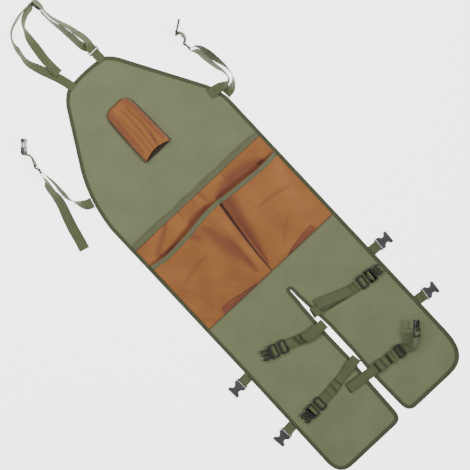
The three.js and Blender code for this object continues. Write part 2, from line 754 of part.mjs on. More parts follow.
function makeLegStraps() {
  for (const strap of LEG_STRAPS) {
    const { fold } = strap;
    const plug = strap.plug ?? strap.slider + PLUG_AFTER_SLIDER;
    const rows = strap.route.map((row) => ({ ...row, z: fittedHeight(row, PANEL_TOP + GAP, PLUG_HALF) }));
    const route = new Route(rows, WEBBING_WIDTH);
    const sliderFrame = route.frame(strap.slider);
    const plugFrame = route.frame(plug);
    const places = [
      ...lay(route, [
        { s: 14, up: ON_BINDING },
        { s: fold + 1.5, up: ON_BINDING },
        { s: fold, up: (ON_BINDING + FOLD_UP) / 2 },
        { s: fold + 1.5, up: FOLD_UP },
        { s: 18, up: FOLD_UP },
        { s: 32, up: LOW + 1 },
        ...evenSteps(44, strap.slider - 14, 9, LOW),
      ]),
      ...lay(sliderFrame, [{ s: -9, up: LOW }, { s: 9, up: LOW }]),
      ...lay(route, evenSteps(strap.slider + 14, plug - 4, 5, LOW)),
      ...lay(plugFrame, [{ s: 2, up: LOW }, ...roundBar(WRAP, LOW, HIGH, MIDDLE)]),
      ...lay(route, evenSteps(plug - 4, strap.slider + 14, 5, MIDDLE)),
      ...lay(sliderFrame, overBar(0, MIDDLE, HIGH, -1)),
      ...lay(route, strap.tail),
    ];
    addPiece(`leg_strap_${strap.name}`, webbing(places, WEBBING_WIDTH), 'webbing');
    const slider = sliderGeometry(WEBBING_WIDTH, PLATE_BOTTOM);
    addFitting(`leg_slider_${strap.name}`, slider, 'black_plastic', sliderFrame);
    addFitting(`leg_plug_${strap.name}`, plugGeometry(PLATE_BOTTOM), 'black_plastic', plugFrame);
  }
}

// Heights of the layers from the middle of a plate that stands on edge
const EDGE_OVER = PLATE_THICKNESS / 2 + GAP + WEBBING_THICKNESS / 2;
const EDGE_UNDER = EDGE_OVER + 0.1;
const EDGE_RUN = EDGE_UNDER + WEBBING_THICKNESS + GAP;
const STRAP_STEP = 10;

// The neck loop. The strands near and far run from the ring up to the slider, outer and
// tail from the slider round to the left corner. z is given where a row rests on a layer.
const NECK_SLIDER = { x: 25.5, y: 788, z: 13.6, heading: 100, roll: 62 };
const NECK_NEAR = [
  { x: 52.5, y: 631, roll: 34 }, { x: 55.5, y: 640, roll: 50 }, { x: 54, y: 660, roll: 49 },
  { x: 50, y: 675, roll: 52 }, { x: 47.5, y: 690, roll: 60 }, { x: 43, y: 705, roll: 63 },
  { x: 37.5, y: 720, roll: 67 }, { x: 33, y: 735, roll: 70 }, { x: 30.5, y: 750, roll: 76 },
  { x: 30, y: 765, roll: 80 },
];
const NECK_FAR = [
  { x: 48.8, y: 627.5, roll: -1, z: 0.8 }, { x: 44.3, y: 634, roll: -12, z: 3.2 },
  { x: 39, y: 643, roll: -38 }, { x: 36.6, y: 655, roll: -47 },
  { x: 35.3, y: 672, roll: -47 }, { x: 33, y: 690, roll: -52 },
  { x: 30.4, y: 708, roll: -60 }, { x: 26, y: 724, roll: -74 }, { x: 24, y: 736, roll: -80 },
  { x: 23, y: 750, roll: -82 }, { x: 22.8, y: 766, roll: -78 },
];
const NECK_OUTER = [
  { x: 8, y: 798.5, roll: 77 }, { x: -5, y: 798, roll: 77 }, { x: -20, y: 796, roll: 71 },
  { x: -40, y: 790, roll: 70 }, { x: -55, y: 784, roll: 71 }, { x: -66, y: 775, roll: 74 },
  { x: -73, y: 765, roll: 77 }, { x: -77, y: 754, roll: 74 }, { x: -79, y: 738, roll: 56 },
  { x: -81, y: 725, roll: 66 }, { x: -83, y: 710, roll: 57 }, { x: -82, y: 697, roll: 47 },
  { x: -77, y: 683, roll: 33 }, { x: -70, y: 665, roll: 15 }, { x: -62, y: 645, roll: 10 },
  { x: -54, y: 625, roll: 8 }, { x: -49.5, y: 611, roll: 4, z: 1.6 }, { x: -46.5, y: 600, z: 4.8 },
  { x: -45.5, y: 594, z: 4.8 }, { x: -44, y: 584, z: 4.8 },
];
const NECK_TAIL = [
  { x: 9, y: 790.5, roll: -62 }, { x: 0, y: 790, roll: -58 }, { x: -12, y: 786, roll: -60 },
  { x: -22, y: 780, roll: -66 }, { x: -29, y: 773, roll: -74 }, { x: -33, y: 766, roll: -80 },
  { x: -36, y: 756, roll: -65 }, { x: -40, y: 742, roll: -43 }, { x: -42.5, y: 725, roll: -24 },
  { x: -44.5, y: 705, roll: -12 }, { x: -47, y: 685, roll: -17, z: 4.6 },
  { x: -47.5, y: 665, roll: -20, z: 6 },
  { x: -47, y: 645, roll: -15, z: 7.2 }, { x: -46, y: 632, roll: -10, z: 7.4 },
];
const NECK_RING = {
  x: 50, tab_y: 612, strap_y: 620, bottom: WEBBING_THICKNESS + GAP, side: 2.2, length: 2 * BAR + SLOT,
};

function makeNeck() {
  const { x, tab_y, strap_y, bottom, side, length } = NECK_RING;
  const inner = NECK_WEBBING_WIDTH / 2 + SLOT_PLAY / 2;
  const outer = inner + side;
  const rear = tab_y - BAR / 2;
  const ringPlate = plate(rectangle(x - outer, x + outer, rear, rear + length), bottom, PLATE_THICKNESS);
  const hole = {
    x: [x - inner, x + inner],
    y: [tab_y + BAR / 2, strap_y - BAR / 2],
    z: throughPlate(bottom),
  };
  addPiece('neck_ring', fromSolid(cutBoxes(toSolid(ringPlate), [hole])), 'black_plastic');

  const middle = bottom + PLATE_THICKNESS / 2;
  const tabFrame = Frame.on({ x, y: tab_y, z: middle, heading: 90, roll: 0 });
  const sewn = ON_BINDING - middle + 0.1;
  const second = sewn + WEBBING_THICKNESS + GAP;
  addPiece('neck_tab', webbing(lay(tabFrame, [
    { s: -28, up: sewn },
    { s: -13.5, up: sewn },
    { s: -6, up: 0.4 - EDGE_OVER },
    { s: -2, up: -EDGE_OVER },
    { s: 0.4, up: -EDGE_OVER },
    { s: 1.9, up: -1.9 },
    { s: 2.7, up: -0.9 },
    { s: 2.7, up: 0.9 },
    { s: 1.9, up: 1.9 },
    { s: 0.4, up: EDGE_OVER + 0.1 },
    { s: -6, up: EDGE_OVER + 0.8 },
    { s: -13.5, up: second },
    { s: -28, up: second },
  ]), NECK_WEBBING_WIDTH), 'webbing');

  const slider = Frame.on(NECK_SLIDER);
  const ring = Frame.on({ x, y: strap_y, z: middle, heading: 90, roll: 0 });
  const strand = (rows) => new Route(rows, NECK_WEBBING_WIDTH).samples(STRAP_STEP);
  const places = [
    ...strand(NECK_OUTER).reverse(),
    ...lay(slider, [{ s: 10.8, up: EDGE_RUN }, { s: -10.8, up: EDGE_RUN }]),
    ...strand(NECK_NEAR).reverse(),
    ...lay(ring, [
      { s: 4.5, up: 3.2 },
      { s: 1.5, up: 2.4 },
      { s: -0.4, up: EDGE_OVER + 0.1 },
      { s: -1.9, up: 1.9 },
      { s: -2.7, up: 0.9 },
      { s: -2.7, up: -0.9 },
      { s: -1.9, up: -1.9 },
      { s: -0.4, up: -EDGE_OVER },
      { s: 2.5, up: -EDGE_OVER },
    ]),
    ...strand(NECK_FAR),
    ...lay(slider.turnedOver(), overBar(0, EDGE_UNDER, -EDGE_OVER)),
    ...strand(NECK_TAIL),
  ];
  addPiece('neck_strap', webbing(places, NECK_WEBBING_WIDTH), 'webbing');
  const plateGeometry = sliderGeometry(NECK_WEBBING_WIDTH, -PLATE_THICKNESS / 2);
  addFitting('neck_slider', plateGeometry, 'black_plastic', slider);
}

// Waist straps. main runs from the body to the slider, run from the slider to the buckle
// half and tail from the slider to the free end.
const WAIST_LEFT = {
  slider: { x: -236, y: 498, z: 16.4, heading: 93, roll: 90 },
  socket: { x: -234, y: 551, z: 16.6, heading: 47, roll: 80 },
  main: [
    { x: -195.3, y: 356.5, heading: 165.5, z: 1.4 }, { x: -204, y: 358.9, roll: 8 },
    { x: -213, y: 365, roll: 35 },
    { x: -220, y: 376, roll: 65 }, { x: -226, y: 388, roll: 88 }, { x: -230, y: 398, roll: 100 },
    { x: -231, y: 410, roll: 114 }, { x: -231, y: 430, roll: 110 }, { x: -230, y: 450, roll: 105 },
    { x: -231, y: 468, roll: 99 }, { x: -232.4, y: 482, roll: 92, z: 14.5 },
  ],
  run: [
    { x: -233.2, y: 513, roll: 82, z: 15 }, { x: -229, y: 524, roll: 82 },
    { x: -227.5, y: 535, roll: 88, z: 14.5 },
    { x: -230.5, y: 543, roll: 87, z: 17 },
  ],
  tail: [
    { x: -239.5, y: 485, roll: 90, z: 15 }, { x: -240, y: 475, roll: 82 }, { x: -241, y: 465, roll: 70 },
    { x: -246, y: 455, roll: 46 }, { x: -248, y: 440, roll: 52 }, { x: -249, y: 420, roll: 35 },
    { x: -253, y: 400, roll: 25 }, { x: -263, y: 370, roll: 12 }, { x: -272, y: 340 },
    { x: -279, y: 310 }, { x: -285, y: 288 },
  ],
};
const WAIST_RIGHT = {
  slider: { x: 218.5, y: 472.5, z: 16.4, heading: 95, roll: 90 },
  plug: { x: 215, y: 508.5, z: 16.4, heading: 36, roll: 88 },
  main: [
    { x: 208.6, y: 329, heading: 3, z: 1.6 }, { x: 218, y: 329.5, roll: 20 },
    { x: 228, y: 330.5, roll: 45 },
    { x: 238, y: 335, roll: 68 }, { x: 246, y: 342, roll: 82 }, { x: 251, y: 352, roll: 89 },
    { x: 253, y: 366, roll: 92 }, { x: 252, y: 384, roll: 104 }, { x: 249, y: 400, roll: 116 },
    { x: 246.5, y: 415, roll: 123 }, { x: 244, y: 430, roll: 122 }, { x: 241.5, y: 444, roll: 112 },
    { x: 237, y: 455, roll: 100 }, { x: 230, y: 462, roll: 92, z: 14 },
  ],
  run: [
    { x: 224, y: 486, roll: 88, z: 14.5 }, { x: 228, y: 493, roll: 75 }, { x: 229.5, y: 501, roll: 72 },
    { x: 227, y: 508, roll: 84, z: 15 },
  ],
  tail: [
    { x: 219.5, y: 458, roll: 90, z: 15 }, { x: 223.5, y: 453.5, roll: 84, z: 14.4 },
    { x: 228, y: 450, roll: 72 },
    { x: 230, y: 440, roll: 62 }, { x: 232.5, y: 420, roll: 62 }, { x: 235, y: 400, roll: 69 },
    { x: 237, y: 388, roll: 72 }, { x: 240.5, y: 375, roll: 80 }, { x: 241, y: 364, roll: 85 },
    { x: 240, y: 355, roll: 88 }, { x: 236, y: 347.5, roll: 82 }, { x: 228, y: 345, roll: 64, z: 12.5 },
    { x: 217, y: 347, roll: 40, z: 10 }, { x: 206, y: 350, roll: 16, z: 8.4 },
    { x: 193, y: 352.5, roll: 4, z: 5.8 },
    { x: 180, y: 354.5, z: 4.9 },
  ],
};
// Round the bar of a socket, whose loop is open at its rear
const SOCKET_TURN = [
  { s: -4, up: 1.7 }, { s: -1.8, up: 2.2 }, { s: 0, up: 2.6 }, { s: 1.9, up: 2.3 }, { s: 2.7, up: 1.1 },
  { s: 2.7, up: -1.1 }, { s: 1.9, up: -2.3 }, { s: 0, up: -2.6 }, { s: -1.8, up: -2.2 },
  { s: -4, up: -1.7 },
];
const LAYER = (WEBBING_THICKNESS + GAP) / 2 + 0.15;

// A waist strap through its slider, turned round its buckle half and back over the slider
function waistStrap(side, rows, turn) {
  const slider = Frame.on(rows.slider);
  const main = new Route(rows.main, WEBBING_WIDTH).samples(STRAP_STEP);
  const run = new Route(rows.run, WEBBING_WIDTH);
  const tail = new Route(rows.tail, WEBBING_WIDTH).samples(STRAP_STEP);
  const out = evenSteps(0, run.length, 7, LAYER);
  const back = evenSteps(run.length, 0, 7, -LAYER);
  const places = [
    ...main,
    ...lay(slider, [{ s: -10.8, up: EDGE_RUN }, { s: 10.8, up: EDGE_RUN }]),
    ...lay(run, out),
    ...turn,
    ...lay(run, back),
    ...lay(slider, overBar(0, -EDGE_UNDER, EDGE_OVER, -1)),
    ...tail,
  ];
  addPiece(`waist_strap_${side}`, webbing(places, WEBBING_WIDTH), 'webbing');
  const plateGeometry = sliderGeometry(WEBBING_WIDTH, -PLATE_THICKNESS / 2);
  addFitting(`waist_slider_${side}`, plateGeometry, 'black_plastic', slider);
}

function makeWaistStraps() {
  const bar = Frame.on(WAIST_LEFT.socket);
  waistStrap('left', WAIST_LEFT, lay(bar, SOCKET_TURN));
  const socket = socketGeometry().translate(-BAR / 2, 0, -SOCKET_BAR_MIDDLE);
  addFitting('waist_socket_left', socket, 'grey_plastic', bar);

  const plug = Frame.on(WAIST_RIGHT.plug);
  const turn = [{ s: 3, up: EDGE_RUN }, ...roundBar(WRAP, EDGE_RUN, -EDGE_OVER, EDGE_UNDER)];
  waistStrap('right', WAIST_RIGHT, lay(plug, turn));
  addFitting('waist_plug_right', plugGeometry(-PLATE_THICKNESS / 2), 'black_plastic', plug);
}

// Height of the route under a strap's layers and fittings. surface is what they lie on,
// and half the widest fitting's half width, which stands on it as the strap is rolled.
function fittedHeight(row, surface, half) {
  const roll = radians(row.roll ?? 0);
  return surface - (PANEL_TOP + GAP) * Math.cos(roll) + Math.abs(Math.sin(roll)) * (half + GAP);
}

// Steps at one height from one place on a route to another, about spacing apart
function evenSteps(from, to, spacing, up) {
  const count = Math.floor(Math.abs(to - from) / spacing);
  const sign = Math.sign(to - from);
  return sign * (to - from) < spacing ? [] : Array.from({ length: count + 1 }, (_, i) => (
    { s: from + i * (to - from) / count, up }
  ));
}

// Builds the whole apron
function build() {
  const outline = bodyOutline();
  makePanel(outline);
  makeBinding(outline);
  makeBackPockets();
  makeFrontPockets();
  makeBibPocket();
  makeLegTabs();
  makeLegStraps();
  makeNeck();
  makeWaistStraps();
}

build();
const box = new THREE.Box3().setFromObject(apron);
const centre = box.getCenter(vector(0, 0, 0));
apron.position.set(-centre.x, -centre.y, -box.min.z);

export default apron;
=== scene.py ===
import itertools
import math

import bpy
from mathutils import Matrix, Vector, noise


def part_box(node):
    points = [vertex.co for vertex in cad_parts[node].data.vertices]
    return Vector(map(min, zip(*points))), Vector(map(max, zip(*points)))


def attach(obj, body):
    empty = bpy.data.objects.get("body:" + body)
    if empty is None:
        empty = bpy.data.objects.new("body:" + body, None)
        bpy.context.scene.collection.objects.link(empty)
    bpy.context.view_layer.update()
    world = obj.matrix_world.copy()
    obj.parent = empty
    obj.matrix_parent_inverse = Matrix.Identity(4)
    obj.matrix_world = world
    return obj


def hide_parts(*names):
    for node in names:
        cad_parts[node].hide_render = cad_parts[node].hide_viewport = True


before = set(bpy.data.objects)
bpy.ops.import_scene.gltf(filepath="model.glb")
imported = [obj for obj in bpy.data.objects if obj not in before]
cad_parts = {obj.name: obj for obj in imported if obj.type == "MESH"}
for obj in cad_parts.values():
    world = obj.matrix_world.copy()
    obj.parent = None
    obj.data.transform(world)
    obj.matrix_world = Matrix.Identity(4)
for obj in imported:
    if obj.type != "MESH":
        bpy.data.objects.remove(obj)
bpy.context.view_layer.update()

MM = 0.001
SAME_POINT = 0.01 * MM
BACK_POCKET_HEM = -49

back_low, back_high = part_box("back_pocket_panel")
ORIGIN = Vector(((back_low[0] + back_high[0]) / 2, back_low[1] - BACK_POCKET_HEM * MM, 0))


def apron(x, y, z=0.0):
    return ORIGIN + Vector((x, y, z)) * MM


def on_apron(place):
    """A place in the frame, in the apron's own millimetres"""
    return (place - ORIGIN) / MM


def smooth_step(value, low, high):
    t = min(max((value - low) / (high - low), 0), 1)
    return t * t * (3 - 2 * t)


# Selection, modifiers and copies
def select_only(piece):
    bpy.ops.object.select_all(action="DESELECT")
    piece.hide_set(False)
    piece.select_set(True)
    bpy.context.view_layer.objects.active = piece


def edit(piece):
    select_only(piece)
    bpy.ops.object.mode_set(mode="EDIT")


def edit_all(piece):
    """Enters edit mode with all of the piece selected"""
    edit(piece)
    bpy.ops.mesh.select_all(action="SELECT")


def leave_edit():
    bpy.ops.object.mode_set(mode="OBJECT")


def modify(piece, kind, **settings):
    select_only(piece)
    modifier = piece.modifiers.new(kind.title(), kind)
    for name, value in settings.items():
        setattr(modifier, name, value)
    bpy.ops.object.modifier_apply(modifier=modifier.name)


def shade_smooth(piece, degrees):
    """Smooth shading, with an edge kept wherever the faces turn by more than these degrees"""
    select_only(piece)
    bpy.ops.object.shade_smooth_by_angle(angle=math.radians(degrees))


def copy_of(node, name):
    """A merged copy of a CAD node, on its own mesh"""
    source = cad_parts[node]
    piece = source.copy()
    piece.data = source.data.copy()
    piece.name = piece.data.name = name
    piece.data.materials.clear()
    for key in list(piece.keys()):
        del piece[key]
    bpy.context.collection.objects.link(piece)
    edit_all(piece)
    bpy.ops.mesh.remove_doubles(threshold=SAME_POINT)
    bpy.ops.mesh.customdata_custom_splitnormals_clear()
    leave_edit()
    return piece


def finish(piece, node, material):
    """Puts a finished piece on the body in place of its CAD node"""
    piece.data.materials.clear()
    piece.data.materials.append(material)
    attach(piece, "root")
    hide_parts(node)


# Materials
def linear(hex_code):
    channels = [int(hex_code[i:i + 2], 16) / 255 for i in (1, 3, 5)]
    return [c / 12.92 if c <= 0.04045 else ((c + 0.055) / 1.055) ** 2.4 for c in channels] + [1]


def add(material, kind, sockets=None, **options):
    """Adds a node with its options, and with its sockets by name or number, each set to a
    value or linked from another node. Gives back its outputs. A Mix node of colours takes
    them in sockets 6 and 7, and gives the mix in output 2"""
    node = material.node_tree.nodes.new(kind)
    for name, value in options.items():
        setattr(node, name, value)
    for name, value in (sockets or {}).items():
        if isinstance(value, bpy.types.NodeSocket):
            material.node_tree.links.new(value, node.inputs[name])
        else:
            node.inputs[name].default_value = value
    return node.outputs


def new_material(name, values):
    """A material, with values for its shader's own sockets"""
    material = bpy.data.materials.new(name)
    material.use_nodes = True
    for socket, value in values.items():
        material.node_tree.nodes["Principled BSDF"].inputs[socket].default_value = value
    return material


def put_on(material, dyed, height, strength, depth):
    """Gives a material its colour, and a relief of one depth in metres"""
    shader = material.node_tree.nodes["Principled BSDF"]
    relief = add(material, "ShaderNodeBump", {"Strength": strength, "Distance": depth, "Height": height})[0]
    material.node_tree.links.new(dyed, shader.inputs["Base Color"])
    material.node_tree.links.new(relief, shader.inputs["Normal"])


# Noise scales, in patches to a metre
CANVAS_PATCHES = 14  # 70 mm across, as uneven dye leaves them
CANVAS_FLECKS = 420  # 2.4 mm, the thick and thin lengths of the yarn
TAPE_PATCHES = 60    # 17 mm
RESIN_PATCHES = 90   # 11 mm
MOULD_GRAIN = 1500   # 0.7 mm, coarser than the real grain, so that it can show

# Plain weave is about 0.5 mm from thread to thread, drawn coarser so that it can show
THREAD_SPACING = 0.9 * MM
# In webbing, how far apart the lengthwise cords lie, in widths of a rib
CORDS_TO_RIBS = 1.6
# A stitch takes up its share of the pitch, and sinks into the ribs by so many of their heights
STITCH_PITCH = 3.4 * MM
STITCH_WIDTH = 0.9 * MM
STITCH_SHARE = 0.68
STITCH_SINK = -2.0
# The canvas's tone is a sum of its patches and its flecks, and runs from the shade to the full
# colour between two values of that sum
PATCH_SHARE = 0.7
FLECK_SHARE = 0.3
CANVAS_TONES = (0.35, 0.65)
# The tone of webbing and tape is a sum of their weave, drawn into a range, and their patches
WEAVE_TONES = (0.25, 0.75)
WEAVE_SHARE = 0.6
TAPE_PATCH_SHARE = 0.5
# Where the fold attribute's first painted shade colour is full, and its second begins
FOLD_TURN = 0.6

# Cloth has little gloss, and a sheen from its loose fibres
CLOTH_FINISH = {"Specular IOR Level": 0.25, "Sheen Roughness": 0.5}


def stitch_line(material, along, across, centre):
    """1 on the threads of a line of stitches, 0 between them"""
    off = add(material, "ShaderNodeMath", {0: across, 1: centre}, operation="SUBTRACT")[0]
    off = add(material, "ShaderNodeMath", {0: off}, operation="ABSOLUTE")[0]
    beside = add(material, "ShaderNodeMath", {0: off, 1: STITCH_WIDTH / 2}, operation="LESS_THAN")[0]
    step = add(material, "ShaderNodeMath", {0: along, 1: STITCH_PITCH}, operation="DIVIDE")[0]
    step = add(material, "ShaderNodeMath", {0: step}, operation="FRACT")[0]
    sewn = add(material, "ShaderNodeMath", {0: step, 1: STITCH_SHARE}, operation="LESS_THAN")[0]
    return add(material, "ShaderNodeMath", {0: beside, 1: sewn}, operation="MULTIPLY")[0]


def with_painted_shade(material, dyed, painted_shade_and_patches):
    """The dye, blended by the fold attribute to one darker colour and then to a second: painted shade, and on
    the pockets also random darker patches
    """
    amount = add(material, "ShaderNodeAttribute", attribute_name="fold")["Fac"]
    for low, high, tone in ((0, FOLD_TURN, painted_shade_and_patches[0]), (FOLD_TURN, 1, painted_shade_and_patches[1])):
        share = add(material, "ShaderNodeMapRange", {"Value": amount, "From Min": low, "From Max": high})[0]
        dyed = add(material, "ShaderNodeMix", {0: share, 6: dyed, 7: linear(tone)}, data_type="RGBA")[2]
    return dyed


# Cotton canvas in plain weave: dull, with threads which only close views show, and slow
# changes of tone from the dye. The fold attribute blends in painted shade, and on the pockets
# also random darker patches
def make_canvas(name, colour, shade, shaded_folds, sheen=0.08, seams=()):
    material = new_material(name, {**CLOTH_FINISH, "Roughness": 0.86, "Sheen Weight": sheen})
    place = add(material, "ShaderNodeTexCoord")["Object"]
    slow = add(material, "ShaderNodeTexNoise", {"Vector": place, "Scale": CANVAS_PATCHES, "Detail": 4})[0]
    fine = add(material, "ShaderNodeTexNoise", {"Vector": place, "Scale": CANVAS_FLECKS, "Detail": 3})[0]
    slow = add(material, "ShaderNodeMath", {0: slow, 1: PATCH_SHARE}, operation="MULTIPLY")[0]
    fine = add(material, "ShaderNodeMath", {0: fine, 1: FLECK_SHARE}, operation="MULTIPLY")[0]
    tone = add(material, "ShaderNodeMath", {0: slow, 1: fine}, operation="ADD")[0]
    low, high = CANVAS_TONES
    tone = add(material, "ShaderNodeMapRange", {"Value": tone, "From Min": low, "From Max": high})[0]
    dyed = add(material, "ShaderNodeMix", {0: tone, 6: linear(shade), 7: linear(colour)}, data_type="RGBA")[2]
    # A Wave node's bands lie pi / 10 apart at scale 1
    warp, weft = (
        add(material, "ShaderNodeTexWave",
            {"Vector": place, "Scale": math.pi / 10 / THREAD_SPACING, "Distortion": 0.4, "Detail": 1},
            bands_direction=axis)["Fac"]
        for axis in ("X", "Y")
    )
    weave = add(material, "ShaderNodeMath", {0: warp, 1: weft}, operation="MULTIPLY")[0]
    dyed = with_painted_shade(material, dyed, shaded_folds)
    sides = add(material, "ShaderNodeSeparateXYZ", {0: place})
    for seam in seams:
        across, along = (0, 1) if seam["axis"] == "x" else (1, 0)
        stitched = stitch_line(material, sides[along], sides[across], ORIGIN[across] + seam["at"] * MM)
        for key, operation in (("from", "GREATER_THAN"), ("to", "LESS_THAN")):
            if key in seam:
                end = {0: sides[along], 1: ORIGIN[along] + seam[key] * MM}
                inside = add(material, "ShaderNodeMath", end, operation=operation)[0]
                stitched = add(material, "ShaderNodeMath", {0: stitched, 1: inside}, operation="MULTIPLY")[0]
        mix = {0: stitched, 6: dyed, 7: linear(seam["thread"])}
        dyed = add(material, "ShaderNodeMix", mix, data_type="RGBA")[2]
    put_on(material, dyed, weave, strength=0.35, depth=0.15 * MM)
    return material


# Woven polyester tape and webbing: ribs across the strip, and a faint shine. The pattern
# follows the piece's own UV map, in metres. Stitches are given by their way from one edge.
# With fold colours given, the fold attribute blends painted shadow into the webbing
def make_strip(name, colour, shade, thread, rib, stitches, shaded_folds=None):
    material = new_material(name, {**CLOTH_FINISH, "Roughness": 0.8, "Sheen Weight": 0.15})
    place = add(material, "ShaderNodeUVMap", uv_map="strip")[0]
    along, across, _ = add(material, "ShaderNodeSeparateXYZ", {0: place})
    ribs = add(material, "ShaderNodeMath", {0: along, 1: 2 * math.pi / rib}, operation="MULTIPLY")[0]
    ribs = add(material, "ShaderNodeMath", {0: ribs}, operation="SINE")[0]
    cord = CORDS_TO_RIBS * rib
    cords = add(material, "ShaderNodeMath", {0: across, 1: 2 * math.pi / cord}, operation="MULTIPLY")[0]
    cords = add(material, "ShaderNodeMath", {0: cords}, operation="SINE")[0]
    weave = add(material, "ShaderNodeMath", {0: ribs, 1: cords}, operation="MULTIPLY")[0]
    slow = add(material, "ShaderNodeTexNoise", {"Vector": place, "Scale": TAPE_PATCHES, "Detail": 3})[0]
    low, high = WEAVE_TONES
    tone = {"Value": weave, "From Min": -1.0, "From Max": 1.0, "To Min": low, "To Max": high}
    tone = add(material, "ShaderNodeMapRange", tone)[0]
    tone = add(material, "ShaderNodeMath", {0: tone, 1: WEAVE_SHARE}, operation="MULTIPLY")[0]
    slow = add(material, "ShaderNodeMath", {0: slow, 1: TAPE_PATCH_SHARE}, operation="MULTIPLY")[0]
    tone = add(material, "ShaderNodeMath", {0: tone, 1: slow}, operation="ADD")[0]
    dyed = add(material, "ShaderNodeMix", {0: tone, 6: linear(shade), 7: linear(colour)}, data_type="RGBA")[2]
    if shaded_folds:
        dyed = with_painted_shade(material, dyed, shaded_folds)
    height = weave
    for centre in stitches:
        sewn = stitch_line(material, along, across, centre)
        dyed = add(material, "ShaderNodeMix", {0: sewn, 6: dyed, 7: linear(thread)}, data_type="RGBA")[2]
        sunk = add(material, "ShaderNodeMath", {0: sewn, 1: STITCH_SINK}, operation="MULTIPLY")[0]
        height = add(material, "ShaderNodeMath", {0: height, 1: sunk}, operation="ADD")[0]
    put_on(material, dyed, height, strength=0.5, depth=0.2 * MM)
    return material


# Injection-moulded acetal: satin, with the fine grain of its spark-eroded mould
def make_plastic(name, colour, shade):
    material = new_material(name, {"Roughness": 0.42, "Specular IOR Level": 0.5})
    place = add(material, "ShaderNodeTexCoord")["Object"]
    grain = add(material, "ShaderNodeTexNoise", {"Vector": place, "Scale": MOULD_GRAIN, "Detail": 2})[0]
    slow = add(material, "ShaderNodeTexNoise", {"Vector": place, "Scale": RESIN_PATCHES, "Detail": 2})[0]
    dyed = add(material, "ShaderNodeMix", {0: slow, 6: linear(shade), 7: linear(colour)}, data_type="RGBA")[2]
    put_on(material, dyed, grain, strength=0.2, depth=0.05 * MM)
    return material


# A seam crosses its axis at one place, and runs all along the cloth unless it has two ends
HEM_SEAM = {"axis": "y", "at": -48.2, "thread": "#6b4a30"}
DIVIDER_SEAMS = [
    {"axis": "x", "at": -64, "from": 183, "to": 208, "thread": "#4a2f20"},
    {"axis": "x", "at": 73, "from": 183, "to": 208, "thread": "#4a2f20"},
]
# The orange cloth: its dye, its random darker dye, its sheen, and two darker colours for the fold attribute,
# painted shade in its folds and its random darker patches
ORANGE = {"colour": "#a36b3a", "shade": "#925d31", "shaded_folds": ["#7b4734", "#2b2119"], "sheen": 0.2}

# The canvas's last two colours are painted shadow, in the bib pocket's mouth and round its walls
canvas = make_canvas("waxed cotton canvas", "#797f5e", "#717657", ["#4a4436", "#2b2119"])
front_cloth = make_canvas("orange cotton canvas, gathered", **ORANGE, seams=[HEM_SEAM])
back_cloth = make_canvas("orange cotton canvas, flat", **ORANGE, seams=DIVIDER_SEAMS)
bib_cloth = make_canvas("orange cotton canvas, puffed", **ORANGE)
binding = make_strip("bound edge tape", colour="#575c43", shade="#40452f", thread="#31351f",
                     rib=1.4 * MM, stitches=[6.6 * MM])
tape = make_strip("pocket tape", colour="#73765a", shade="#575b40", thread="#41442e",
                  rib=1.2 * MM, stitches=[2 * MM, 7.5 * MM])
# The webbing's last two colours are painted shadow, at its humps and where it lies doubled
webbing = make_strip("ribbed webbing", colour="#656d4c", shade="#4c5338", thread="#3a4029",
                     rib=1.6 * MM, stitches=[2.2 * MM, 22.8 * MM], shaded_folds=["#333a24", "#14170e"])
black_plastic = make_plastic("black acetal", "#1f1f1e", "#141413")
grey_plastic = make_plastic("dark grey acetal", "#45474a", "#383a3c")


# Folds. Each runs through points with x and y on the apron and half its width there, all in
# millimetres. depth is how far it presses the cloth down, or lifts it where negative, and
# tone is how much painted shade it lays on the cloth, from 0 to 1. A fold without one of them
# only paints shade, or only presses. ease is the share of its half width over which it fades.
def fold_strength(place, path, ease):
    """1 along the middle of a fold, and 0 past its half width on either side"""
    best = 0
    for (x0, y0, half0), (x1, y1, half1) in zip(path, path[1:]):
        run, rise = x1 - x0, y1 - y0
        share = ((place.x - x0) * run + (place.y - y0) * rise) / (run * run + rise * rise)
        share = min(max(share, 0), 1)
        away = math.hypot(place.x - x0 - share * run, place.y - y0 - share * rise)
        half = half0 + share * (half1 - half0)
        if away < half:
            best = max(best, smooth_step(1 - away / half, 0, ease))
    return best


def fold_cloth(piece, shaded_folds, height=None, shade=None):
    """Keeps how dark each point is in the piece's fold attribute: the painted shade of each fold,
    and what shade gives, random darker patches or painted shadow. With a height, presses
    each fold in as well"""
    painted_shade_and_patches = piece.data.attributes.new("fold", "FLOAT", "POINT")
    for vertex in piece.data.vertices:
        place = on_apron(vertex.co)
        light = 1 - shade(place) if shade else 1
        pressed = 0
        for fold in shaded_folds:
            strength = fold_strength(place, fold["path"], fold.get("ease", 1))
            light *= 1 - fold.get("tone", 0) * strength
            pressed += fold.get("depth", 0) * strength
        if height:
            vertex.co.z += (height(place) - pressed * pressable(place)) * MM
        painted_shade_and_patches.data[vertex.index].value = 1 - light


# How high the cloth stands in millimetres where folds begin to press it, and where they do
# in full. Lower down they would press it into what lies close under it.
PRESS_HEIGHTS = (4.5, 8)
# From where to where up the front pockets the folds fade, because a tape is sewn on there
TAPE_FADE = (118, 132)
# Higher up than this is only the bib pocket, which has no tape
BIB_START = 250


def pressable(place):
    """How far a fold may press at a place, from 0 to 1"""
    free = smooth_step(place.z, *PRESS_HEIGHTS)
    return free * (1 - smooth_step(place.y, *TAPE_FADE)) if place.y < BIB_START else free


# Strips of tape and webbing
CLOTH_THICKNESS = 1.2 * MM
TAPE_THICKNESS = 1.0 * MM
# From one row of points to the next along the webbing
WEBBING_SPACING = 2.5 * MM
# How far two sides of a rectangle may differ, and the shortest way between two rows
SQUARE_ENOUGH = 0.1 * MM
SHORTEST = 0.001 * MM
# How much nearer to the bound edge the squared ends of a tab lie than its nearest point there
TAB_REACH = 0.35 * MM
# Shares of the webbing's half width at which it has a line of points
STRAP_COLUMNS = [-1, -0.86, -0.5, 0, 0.5, 0.86, 1]
